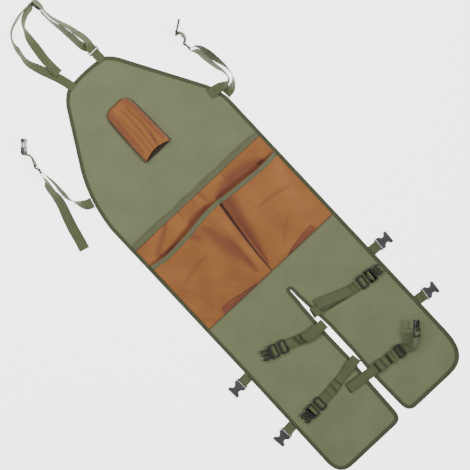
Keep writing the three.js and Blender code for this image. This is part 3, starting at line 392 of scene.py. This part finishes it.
# Painted shadow on the leg webbing: at its humps and creases, along the tips and edges of doubled layers, and
# beside the slit
STRAP_PAINTED_SHADOWS = [
    {"path": [(-52, -203, 4), (-55, -218, 5), (-50, -236, 4)], "tone": 0.8},
    {"path": [(-66, -200, 10), (-64, -222, 9)], "tone": 0.5},
    {"path": [(-50, -234, 3), (-20, -239, 3), (8, -238, 3)], "tone": 0.5},
    {"path": [(-90, -205, 3), (-94, -222, 3)], "tone": 0.5},
    {"path": [(-96, -338, 3), (-99, -368, 3)], "tone": 0.35},
    {"path": [(-79, -336, 4), (-80, -366, 4)], "tone": 0.5},
    {"path": [(-64, -334, 4), (-61, -362, 4)], "tone": 0.5},
    {"path": [(-55, -364, 4), (-57, -388, 4)], "tone": 0.85},
    {"path": [(-50, -364, 3), (-10, -369, 3)], "tone": 0.45},
    {"path": [(30, -372, 5), (28, -402, 5)], "tone": 0.8},
    {"path": [(47, -376, 4), (46, -402, 4)], "tone": 0.6},
    {"path": [(64, -378, 6), (62, -405, 6)], "tone": 0.85},
    {"path": [(77, -380, 4), (75, -400, 4)], "tone": 0.4},
    {"path": [(97, -382, 8), (96, -412, 8)], "tone": 0.8},
    {"path": [(24, -200, 4), (55, -211, 4), (87, -219, 4)], "tone": 0.75},
    {"path": [(26, -160, 3), (24, -180, 3)], "tone": 0.7},
    {"path": [(110, -190, 3), (111, -224, 3)], "tone": 0.4},
    {"path": [(121, -192, 3), (122, -228, 3)], "tone": 0.5},
    {"path": [(6, -175, 4), (5, -200, 4)], "tone": 0.6},
]


def rings_of(node, start):
    """The cross-sections along a CAD strap, from the end that lies nearest to start, each
    its middle and half the vector across it, walked over the merged copy of its mesh"""
    piece = copy_of(node, "walk")
    points = [vertex.co.copy() for vertex in piece.data.vertices]
    beside = [set() for _ in points]
    for edge in piece.data.edges:
        a, b = edge.vertices
        beside[a].add(b)
        beside[b].add(a)
    bpy.data.objects.remove(piece)
    ends = [ring for ring in end_rings(beside) if is_rectangle(points, ring)]
    ring = min(ends, key=lambda end: (middle_of(points, end) - start).length)
    seen, rows, across = set(ring), [], None
    while ring:
        across = across_of(points, ring, across)
        rows.append((middle_of(points, ring), across))
        ring = set().union(*(beside[i] for i in ring)) - seen
        seen |= ring
    return rows


def middle_of(points, ring):
    return sum((points[i] for i in ring), Vector()) / len(ring)


def end_rings(beside):
    """Rings of four points that touch only four others, as those that close a strap do"""
    found = set()
    for i, near in enumerate(beside):
        for j in near:
            for k in (near & beside[j]):
                for last in (near | beside[j] | beside[k]) - {i, j, k}:
                    ring = frozenset((i, j, k, last))
                    if len(set().union(*(beside[n] for n in ring)) - ring) == 4:
                        found.add(ring)
    return found


def is_rectangle(points, ring):
    """Whether four points lie as the ends of a strap do, and not across two rings of it"""
    spans = sorted((points[a] - points[b]).length for a, b in itertools.combinations(ring, 2))
    return all(spans[i + 1] - spans[i] < SQUARE_ENOUGH for i in (0, 2, 4))


def across_of(points, ring, before):
    """Half the vector between the short sides of a ring, kept to one way round"""
    a, *others = ring
    partner = min(others, key=lambda i: (points[i] - points[a]).length)
    far = [i for i in others if i != partner]
    across = (points[far[0]] + points[far[1]] - points[a] - points[partner]) / 4
    return -across if before is not None and across.dot(before) < 0 else across


def between(before, here, there, after, t):
    """Centripetal curve through four rows, at a share t of the way from here to there"""
    knots = [0.0]
    for a, b in ((before, here), (here, there), (there, after)):
        knots.append(knots[-1] + max((b[0] - a[0]).length, SHORTEST) ** 0.5)
    at = knots[1] + t * (knots[2] - knots[1])

    def blend(a, b, from_knot, to_knot):
        share = (at - knots[from_knot]) / (knots[to_knot] - knots[from_knot])
        return [p.lerp(q, share) for p, q in zip(a, b)]

    first, middle, last = blend(before, here, 0, 1), blend(here, there, 1, 2), blend(there, after, 2, 3)
    return blend(blend(first, middle, 0, 2), blend(middle, last, 1, 3), 1, 2)


def smooth_rows(rows, spacing):
    """Rows along a smooth curve through the given ones, at most one spacing apart"""
    half = rows[0][1].length
    before = [2 * p - q for p, q in zip(rows[0], rows[1])]
    after = [2 * p - q for p, q in zip(rows[-1], rows[-2])]
    rows = [before, *rows, after]
    found = []
    for i in range(1, len(rows) - 2):
        count = max(2, math.ceil((rows[i + 1][0] - rows[i][0]).length / spacing))
        found += [between(*rows[i - 1:i + 3], step / count) for step in range(count)]
    found.append(rows[-2])
    return [(middle, across.normalized() * half) for middle, across in found]


def strip(name, lines, thickness, closed=False):
    """Cloth through lines of points, one line for each place along it, with its own
    lengths in metres in its UV map"""
    if closed:
        lines = [*lines, lines[0]]
    along, across = len(lines) - 1, len(lines[0]) - 1
    bpy.ops.mesh.primitive_grid_add(x_subdivisions=along, y_subdivisions=across, size=1)
    piece = bpy.context.object
    piece.name = piece.data.name = name
    distance, width = [0.0], [0.0]
    for a, b in zip(lines, lines[1:]):
        distance.append(distance[-1] + sum((p - q).length for p, q in zip(a, b)) / len(a))
    for p, q in zip(lines[0], lines[0][1:]):
        width.append(width[-1] + (q - p).length)
    spots = [(round((v.co.x + 0.5) * along), round((v.co.y + 0.5) * across)) for v in piece.data.vertices]
    layer = piece.data.uv_layers[0]
    layer.name = "strip"
    for loop in piece.data.loops:
        i, j = spots[loop.vertex_index]
        layer.data[loop.index].uv = (distance[i], width[j])
    for vertex, (i, j) in zip(piece.data.vertices, spots):
        vertex.co = lines[i][j]
    if closed:
        edit_all(piece)
        bpy.ops.mesh.remove_doubles(threshold=SAME_POINT)
        leave_edit()
    modify(piece, "SOLIDIFY", thickness=thickness, offset=0)
    # Rounds the woven edges
    modify(piece, "BEVEL", width=0.3 * thickness, segments=2, limit_method="ANGLE",
           angle_limit=math.radians(70))
    shade_smooth(piece, degrees=50)
    return piece


def make_strap(node, start):
    """Webbing along its CAD strap"""
    rows = smooth_rows(rings_of(node, start), WEBBING_SPACING)
    lines = [[middle + across * share for share in STRAP_COLUMNS] for middle, across in rows]
    if node.startswith("leg_tab"):
        meet_edge(lines)
    piece = strip(node.replace("strap", "webbing").replace("tab", "webbing_tab"), lines, CLOTH_THICKNESS)
    # Painted shadow, laid only where the leg webbing humps and doubles
    fold_cloth(piece, STRAP_PAINTED_SHADOWS)
    finish(piece, node, webbing)


def meet_edge(lines):
    """Squares both ends of a tab to the bound edge that it is sewn to"""
    for line in (lines[0], lines[-1]):
        near = min((point.x for point in line), key=lambda x: abs(x - ORIGIN.x))
        for point in line:
            point.x = near - math.copysign(TAB_REACH, near - ORIGIN.x)


# The body
BODY_GRID = 10 * MM
# Waves to a metre of a cloth that has been folded and laid out: 140 mm long, with ripples of
# half their height and 60 mm on them
WAVES = 7
RIPPLES = 16
RIPPLE_PLACE = Vector((3, 1, 0))
WAVE_DEPTH = 1.0 * MM
# The canvas is cut finer round the bib pocket, to hold the painted shadow of its mouth
MOUTH_AREA = [(-52, 328), (52, 502)]
MOUTH_CUTS = 2
# That painted shadow, inside the mouth and close round the pocket's walls
MOUTH_PAINTED_SHADOW = [
    {"path": [(-36, 348, 5), (-18, 350, 13), (18, 350, 13), (37, 348, 5)], "tone": 1},
    {"path": [(-38, 341, 5), (0, 340, 6), (39, 341, 5)], "tone": 0.9},
    {"path": [(-38.5, 342, 4), (-38, 410, 4), (-36, 468, 4), (-30, 481, 4), (-18, 488, 4), (18, 488, 4),
              (30, 481, 4), (37, 468, 4), (39, 410, 4), (39.5, 342, 4)], "tone": 0.62},
]


def make_body():
    """The canvas: the CAD panel's upper face cut to a grid, with slow waves pressed into it,
    and the painted shadow of the bib pocket's mouth in its fold attribute. Gives back its outline"""
    piece = copy_of("apron_panel", "canvas_body")
    edit(piece)
    bpy.ops.mesh.select_all(action="DESELECT")
    bpy.ops.mesh.select_mode(type="FACE")
    leave_edit()
    for face in piece.data.polygons:
        face.select = face.normal.z < 0.5
    edit(piece)
    bpy.ops.mesh.delete(type="FACE")
    low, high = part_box("apron_panel")
    for axis in (0, 1):
        count = int((high[axis] - low[axis]) / BODY_GRID)
        normal = [0, 0, 0]
        normal[axis] = 1
        for step in range(1, count):
            place = [0, 0, 0]
            place[axis] = low[axis] + (high[axis] - low[axis]) * step / count
            bpy.ops.mesh.select_all(action="SELECT")
            bpy.ops.mesh.bisect(plane_co=place, plane_no=normal)
    leave_edit()
    for _ in range(MOUTH_CUTS):
        for face in piece.data.polygons:
            face.select = in_mouth_area(face.center)
        edit(piece)
        bpy.ops.mesh.subdivide()
        leave_edit()
    outline = body_outline(piece)
    for vertex in piece.data.vertices:
        vertex.co.z = high[2] + wave_at(vertex.co)
    modify(piece, "SOLIDIFY", thickness=CLOTH_THICKNESS, offset=-1)
    fold_cloth(piece, MOUTH_PAINTED_SHADOW)
    shade_smooth(piece, degrees=50)
    finish(piece, "apron_panel", canvas)
    return outline


def in_mouth_area(place):
    low, high = (apron(*corner) for corner in MOUTH_AREA)
    return low.x < place.x < high.x and low.y < place.y < high.y


def wave_at(place):
    """The height of the waves, never above the CAD face"""
    waves = noise.noise(place * WAVES) + 0.5 * noise.noise(place * RIPPLES + RIPPLE_PLACE)
    return -WAVE_DEPTH * smooth_step(waves, -0.7, 0.7)


def body_outline(piece):
    """The open edge of the body as a loop of points"""
    uses = {}
    for face in piece.data.polygons:
        for key in face.edge_keys:
            uses[key] = uses.get(key, 0) + 1
    ahead = {}
    for a, b in (key for key, count in uses.items() if count == 1):
        ahead.setdefault(a, []).append(b)
        ahead.setdefault(b, []).append(a)
    first = next(iter(ahead))
    loop, before = [first], None
    while True:
        here = loop[-1]
        there = next(i for i in ahead[here] if i != before)
        if there == first:
            return [piece.data.vertices[i].co.copy() for i in loop]
        before = here
        loop.append(there)


def evened(loop, spacing):
    """A loop of points moved to even spaces, and its corners eased"""
    lengths = [(b - a).length for a, b in zip(loop, loop[1:] + loop[:1])]
    count = round(sum(lengths) / spacing)
    found, i, passed = [], 0, 0.0
    for step in range(count):
        at = sum(lengths) * step / count
        while passed + lengths[i] < at:
            passed += lengths[i]
            i += 1
        found.append(loop[i].lerp(loop[(i + 1) % len(loop)], (at - passed) / lengths[i]))
    for _ in range(2):
        found = [(found[k - 1] + 2 * p + found[(k + 1) % count]) / 4 for k, p in enumerate(found)]
    return found


# Across the bound edge, from its inner edge on the front to its inner edge at the back:
# how far each line of the tape lies outside the canvas, and its height, in millimetres
BINDING_SECTION = [
    {"out": -7.7, "up": 3.1}, {"out": -6.9, "up": 3.3}, {"out": -5, "up": 3.3}, {"out": -2, "up": 3.3},
    {"out": 0, "up": 3.3}, {"out": 0.55, "up": 3.0}, {"out": 0.8, "up": 2.5}, {"out": 0.8, "up": 1.3},
    {"out": 0.55, "up": 0.8}, {"out": 0, "up": 0.5}, {"out": -3, "up": 0.5}, {"out": -7.7, "up": 0.5},
]
BINDING_SPACING = 3 * MM


def make_binding(outline):
    """The tape that binds the edge, laid round the outline of the canvas"""
    loop = evened(outline, BINDING_SPACING)
    turn = math.copysign(1, sum(a.x * b.y - b.x * a.y for a, b in zip(loop, loop[1:] + loop[:1])))
    lines = []
    for k, point in enumerate(loop):
        tangent = (loop[(k + 1) % len(loop)] - loop[k - 1]).normalized()
        outward = Vector((tangent.y, -tangent.x, 0)) * turn
        lines.append([
            Vector((point.x, point.y, row["up"] * MM)) + outward * row["out"] * MM
            for row in BINDING_SECTION
        ])
    piece = strip("edge_tape", lines, TAPE_THICKNESS, closed=True)
    finish(piece, "edge_binding", binding)


# Pockets and their tapes, in millimetres on the apron
# The front pockets' folds, with painted shade in the deep middle crease, on slopes facing away from the key
# light, in valleys and under the overhanging cloth at the bottom, and a dark line along the hem seam. A
# negative depth lifts a ridge
FRONT_FOLDS_AND_SHADE = [
    {"path": [(25, 162, 6.5), (19.5, 125, 6), (15, 89, 5.2), (9.8, 40, 4), (5.5, -4, 3), (4, -50, 2.2)],
     "depth": 1.2, "tone": 0.97, "ease": 0.75},
    {"path": [(44, 158, 30), (39, 125, 30), (31, 89, 27), (22, 40, 20), (13, -4, 13), (8, -30, 7)],
     "tone": 0.55},
    {"path": [(-46, 128, 18), (-38, 95, 33), (-32, 60, 30), (-27, 30, 23), (-24, 0, 16), (-23, -25, 8)],
     "depth": 3, "tone": 0.44},
    {"path": [(-24, 75, 6), (-21, 40, 8), (-21, 10, 8), (-22, -8, 5)], "depth": 1, "tone": 0.25},
    {"path": [(-87, 152, 10), (-78, 138, 13), (-70, 124, 10)], "depth": 2, "tone": 0.42},
    {"path": [(-25, 142, 4), (-20, 118, 3)], "depth": 1, "tone": 0.25},
    {"path": [(-170, 67, 4), (-140, 75, 6), (-110, 80, 6), (-84, 81, 3)], "depth": 1.2, "tone": 0.3},
    {"path": [(83, 81, 3), (110, 80, 6), (140, 76, 6), (168, 68, 4)], "depth": 1.2, "tone": 0.36},
    {"path": [(-142, -43, 13), (-120, -45, 12), (-90, -47, 9), (-45, -50, 4)], "depth": 1, "tone": 0.62},
    {"path": [(-142, -35, 4), (-118, -35, 4), (-90, -41, 4), (-45, -48, 3)], "depth": 1, "tone": 0.7},
    {"path": [(142, -43, 13), (118, -44, 11), (90, -46, 9), (62, -49, 5)], "depth": 1, "tone": 0.58},
    {"path": [(142, -35, 4), (112, -37, 4), (85, -42, 4), (58, -49, 3)], "depth": 1, "tone": 0.5},
    {"path": [(-206, -50.5, 2.6), (0, -50.5, 2.2), (206, -50.5, 2.6)], "tone": 0.7},
    {"path": [(-206, 40, 6), (-200, -20, 9), (-170, -46, 7)], "tone": 0.2},
    {"path": [(-182, 62, 3), (-163, 22, 3), (-151, -33, 3)], "depth": 0.6, "tone": 0.16},
    {"path": [(-178, 64, 3), (-159, 24, 3), (-147, -33, 3)], "depth": -0.7},
    {"path": [(166, 50, 3), (158, 5, 3), (149, -33, 3)], "depth": 0.6, "tone": 0.16},
    {"path": [(162, 50, 3), (154, 5, 3), (145, -33, 3)], "depth": -0.7},
    {"path": [(115, 18, 5), (90, -2, 8), (64, -24, 5)], "depth": 1.2, "tone": 0.16},
    {"path": [(-6, 150, 6), (-8, 60, 7), (-5, -30, 5)], "depth": -1},
    {"path": [(-120, 20, 4), (-95, -10, 6), (-75, -30, 3)], "depth": 0.8, "tone": 0.08},
    {"path": [(60, 130, 4), (75, 100, 7), (82, 70, 4)], "depth": 1, "tone": 0.08},
]
# The back pockets' marks, mostly painted shadow: cast by the gaping front pockets on the back panel, along
# the edges of both tapes and in the gap at the right tape's end, and dark lines down the dividers
BACK_FOLDS_AND_SHADOWS = [
    {"path": [(-105, 200, 9), (-135, 181, 14), (-165, 163, 13)], "depth": 0.3, "tone": 0.42},
    {"path": [(30, 164, 12), (60, 173, 22), (90, 175, 26), (125, 170, 25), (160, 160, 14)], "tone": 0.55},
    {"path": [(3, 212, 7), (4, 195, 7), (5, 178, 7)], "depth": 0.3, "tone": 0.4},
    {"path": [(-20, 205, 6), (-22, 190, 6)], "depth": 0.3, "tone": 0.25},
    {"path": [(-62, 166, 8), (-35, 170, 10), (-10, 168, 8)], "tone": 0.5},
    {"path": [(-203, 203, 3), (-170, 203, 3), (-138, 203, 2)], "tone": 0.9},
    {"path": [(-138, 203, 2.5), (0, 203, 2.5), (202, 203, 2.5)], "tone": 0.5},
    {"path": [(-164, 153, 3.5), (-140, 151, 3.5), (-108, 152, 2.5)], "tone": 0.9},
    {"path": [(-199, 155, 8), (-144, 150, 8), (-77, 157, 10), (0, 164, 10), (61, 161, 11), (138, 153, 11),
              (196, 155, 8)], "tone": 0.42},
    {"path": [(151, 156, 4.5), (168, 155.5, 4)], "tone": 0.95},
    {"path": [(-64, 209, 2.2), (-64, 180, 2)], "depth": 0.3, "tone": 0.3},
    {"path": [(73, 209, 2.2), (73, 180, 2)], "depth": 0.3, "tone": 0.3},
]
# The bib pocket's lengthwise wrinkles, with painted shade in their hollows and down its sides; a negative
# depth lifts a ridge
BIB_FOLDS_AND_SHADE = [
    {"path": [(-24, 478, 16), (-26, 440, 15), (-27, 400, 11), (-28, 360, 6)], "depth": 0.5, "tone": 0.45},
    {"path": [(-14, 445, 4), (-12, 395, 5), (-16, 352, 5)], "depth": 1.3, "tone": 0.24},
    {"path": [(2, 466, 4), (2, 410, 5), (-3, 350, 4)], "depth": 1.5, "tone": 0.28},
    {"path": [(14, 466, 4), (17, 420, 5), (15, 380, 8), (9, 350, 6)], "depth": 1.5, "tone": 0.4},
    {"path": [(27, 478, 14), (30, 440, 12), (30, 395, 9), (31, 355, 6)], "depth": 0.5, "tone": 0.42},
    {"path": [(-6, 470, 4), (-6, 400, 4), (-8, 355, 5)], "depth": -1},
    {"path": [(8, 460, 4), (9, 400, 4), (20, 355, 5)], "depth": -1},
    {"path": [(15, 384, 4), (15, 376, 4)], "depth": 0.6, "tone": 0.4},
    {"path": [(12, 368, 4), (10, 360, 4)], "depth": 0.6, "tone": 0.4},
]
POCKET_LEVELS = 3
TAPE_LEVELS = 2
RIM_CREASE = 0.8
# Above these heights the mouths lie a quarter flatter than the room that is kept in them
FLATTEN = 0.25
FRONT_FLAT = 5.5
BACK_FLAT = 4.2
# Between these places up the front pockets their mouths begin
LIP = (95, 150)
# The bib pocket wrinkles from the first height, and in full from the second, and has
# painted shadow below the next two, where its walls meet the bib
BIB_LIFT = (4, 9)
BIB_SHADOW = (3, 8.5)


def cloth_copy(node, name, levels):
    """A smooth copy of a folded CAD wall, with its rims kept"""
    piece = copy_of(node, name)
    edit_all(piece)
    bpy.ops.mesh.tris_convert_to_quads(face_threshold=math.pi, shape_threshold=math.pi)
    bpy.ops.mesh.select_all(action="DESELECT")
    bpy.ops.mesh.select_mode(type="EDGE")
    bpy.ops.mesh.edges_select_sharp(sharpness=math.radians(60))
    bpy.ops.transform.edge_crease(value=RIM_CREASE)
    leave_edit()
    modify(piece, "SUBSURF", levels=levels, render_levels=levels)
    return piece


def make_pocket(node, name, cloth, shaded_folds, height, shade):
    piece = cloth_copy(node, name, POCKET_LEVELS)
    fold_cloth(piece, shaded_folds, height, shade)
    shade_smooth(piece, degrees=60)
    finish(piece, node, cloth)


def make_tape(node, name, height):
    piece = cloth_copy(node, name, TAPE_LEVELS)
    for vertex in piece.data.vertices:
        vertex.co.z += height(on_apron(vertex.co)) * MM
    shade_smooth(piece, degrees=60)
    lay_uv_along_x(piece)
    finish(piece, node, tape)


def lay_uv_along_x(piece):
    """A UV map in metres for a tape that runs along X: its way along, and its height
    on the front, which is what shows"""
    layer = piece.data.uv_layers.new(name="strip")
    low = min(vertex.co.y for vertex in piece.data.vertices)
    for loop in piece.data.loops:
        place = piece.data.vertices[loop.vertex_index].co
        layer.data[loop.index].uv = (place.x, place.y - low)


def wrinkles(place, across, along, height):
    """Soft wrinkles in the cloth, with one wavelength along X and another along Y"""
    return height * noise.noise(Vector((place.x / across, place.y / along, 0)))


def patches(place, size, tone):
    """Soft darker patches of about one size"""
    return tone * smooth_step(noise.noise(place / size), 0, 0.6)


def lip_height(place):
    return -FLATTEN * smooth_step(place.y, *LIP) * max(place.z - FRONT_FLAT, 0)


def front_height(place):
    steep = wrinkles(place, across=18, along=60, height=0.8)
    level = wrinkles(place, across=50, along=22, height=0.8)
    return (steep + level) * pressable(place) + lip_height(place)


def front_shade(place):
    return patches(place, size=45, tone=0.12)


def back_height(place):
    return -FLATTEN * max(place.z - BACK_FLAT, 0)


def back_shade(place):
    return patches(place, size=30, tone=0.1)


def bib_height(place):
    gathers = wrinkles(place, across=7, along=90, height=0.9)
    puckers = wrinkles(place, across=14, along=30, height=0.5)
    return smooth_step(place.z, *BIB_LIFT) * (gathers + puckers)


# Painted shadow at the foot of the pocket's walls, where they meet the bib
def bib_shade(place):
    return 0.75 * (1 - smooth_step(place.z, *BIB_SHADOW))


# Plastic fittings. Their pieces are named apart from the CAD nodes that they replace.
FITTING_NAMES = {
    "slider": "slide", "plug": "buckle_plug", "socket": "buckle_socket", "neck_ring": "neck_d_ring",
}
MOULDED_EDGE = 0.45 * MM


def make_fitting(node, material):
    """The CAD fitting with its moulded edges rounded"""
    name = node
    for cad_name, own_name in FITTING_NAMES.items():
        name = name.replace(cad_name, own_name)
    piece = copy_of(node, name)
    edit_all(piece)
    bpy.ops.mesh.dissolve_limited(angle_limit=math.radians(1))
    leave_edit()
    modify(piece, "BEVEL", width=MOULDED_EDGE, segments=3, limit_method="ANGLE",
           angle_limit=math.radians(35))
    shade_smooth(piece, degrees=40)
    finish(piece, node, material)


# Camera, floor and light. The photograph: the place at its middle on the apron, the width
# that it shows, and how far it is turned.
PHOTO_MIDDLE = apron(-2.5, 70.9)
PHOTO_WIDTH = 1109 * MM
PHOTO_TURN = math.radians(43.08)
CAMERA_HEIGHT = 7.0
FLOOR_SIZE = 8
FLOOR_LEVEL = -0.2 * MM
FLOOR_GLOW = 3.0
STUDIO_GLOW = 0.32


def make_camera():
    bpy.ops.object.camera_add(location=PHOTO_MIDDLE + Vector((0, 0, CAMERA_HEIGHT)))
    camera = bpy.context.object
    camera.rotation_euler = (0, 0, -PHOTO_TURN)
    camera.data.lens = camera.data.sensor_width * CAMERA_HEIGHT / PHOTO_WIDTH
    bpy.context.scene.camera = camera


# A white paper sweep: dull, and lit through from behind, so that its shadows hardly show
def make_floor():
    bpy.ops.mesh.primitive_plane_add(size=FLOOR_SIZE, location=(0, 0, FLOOR_LEVEL))
    floor = bpy.context.object
    floor.name = "floor"
    floor.data.materials.append(new_material("white paper sweep", {
        "Base Color": linear("#f8f8f8"), "Roughness": 0.9, "Specular IOR Level": 0.25,
        "Emission Color": linear("#ffffff"), "Emission Strength": FLOOR_GLOW,
    }))


def make_light(name, place, size, energy):
    bpy.ops.object.light_add(type="AREA", location=place)
    light = bpy.context.object
    light.name = name
    light.data.size = size
    light.data.energy = energy
    light.rotation_euler = (PHOTO_MIDDLE - light.location).to_track_quat("-Z", "Y").to_euler()


def make_world():
    world = bpy.data.worlds.new("studio")
    bpy.context.scene.world = world
    world.use_nodes = True
    background = world.node_tree.nodes["Background"]
    background.inputs["Color"].default_value = linear("#ffffff")
    background.inputs["Strength"].default_value = STUDIO_GLOW


make_camera()
make_floor()
make_light("key", apron(6000, -6000, 8000), size=2.4, energy=700)
make_light("fill", apron(0, 1000, 1600), size=1.5, energy=24)
make_world()

make_binding(make_body())
make_pocket("back_pocket_panel", "back_pockets", back_cloth, BACK_FOLDS_AND_SHADOWS, back_height, back_shade)
make_tape("back_pocket_tape", "back_pocket_edge", back_height)
make_pocket("front_pocket_panel", "front_pockets", front_cloth, FRONT_FOLDS_AND_SHADE, front_height, front_shade)
make_tape("front_pocket_tape", "front_pocket_edge", lip_height)
make_pocket("bib_pocket", "phone_pocket", bib_cloth, BIB_FOLDS_AND_SHADE, bib_height, bib_shade)

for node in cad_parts:
    if node.startswith(("leg_strap", "waist_strap", "neck_strap", "leg_tab", "neck_tab")):
        make_strap(node, Vector(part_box(node)[0]))
    elif "socket" in node:
        make_fitting(node, grey_plastic)
    elif "slider" in node or "plug" in node or node == "neck_ring":
        make_fitting(node, black_plastic)
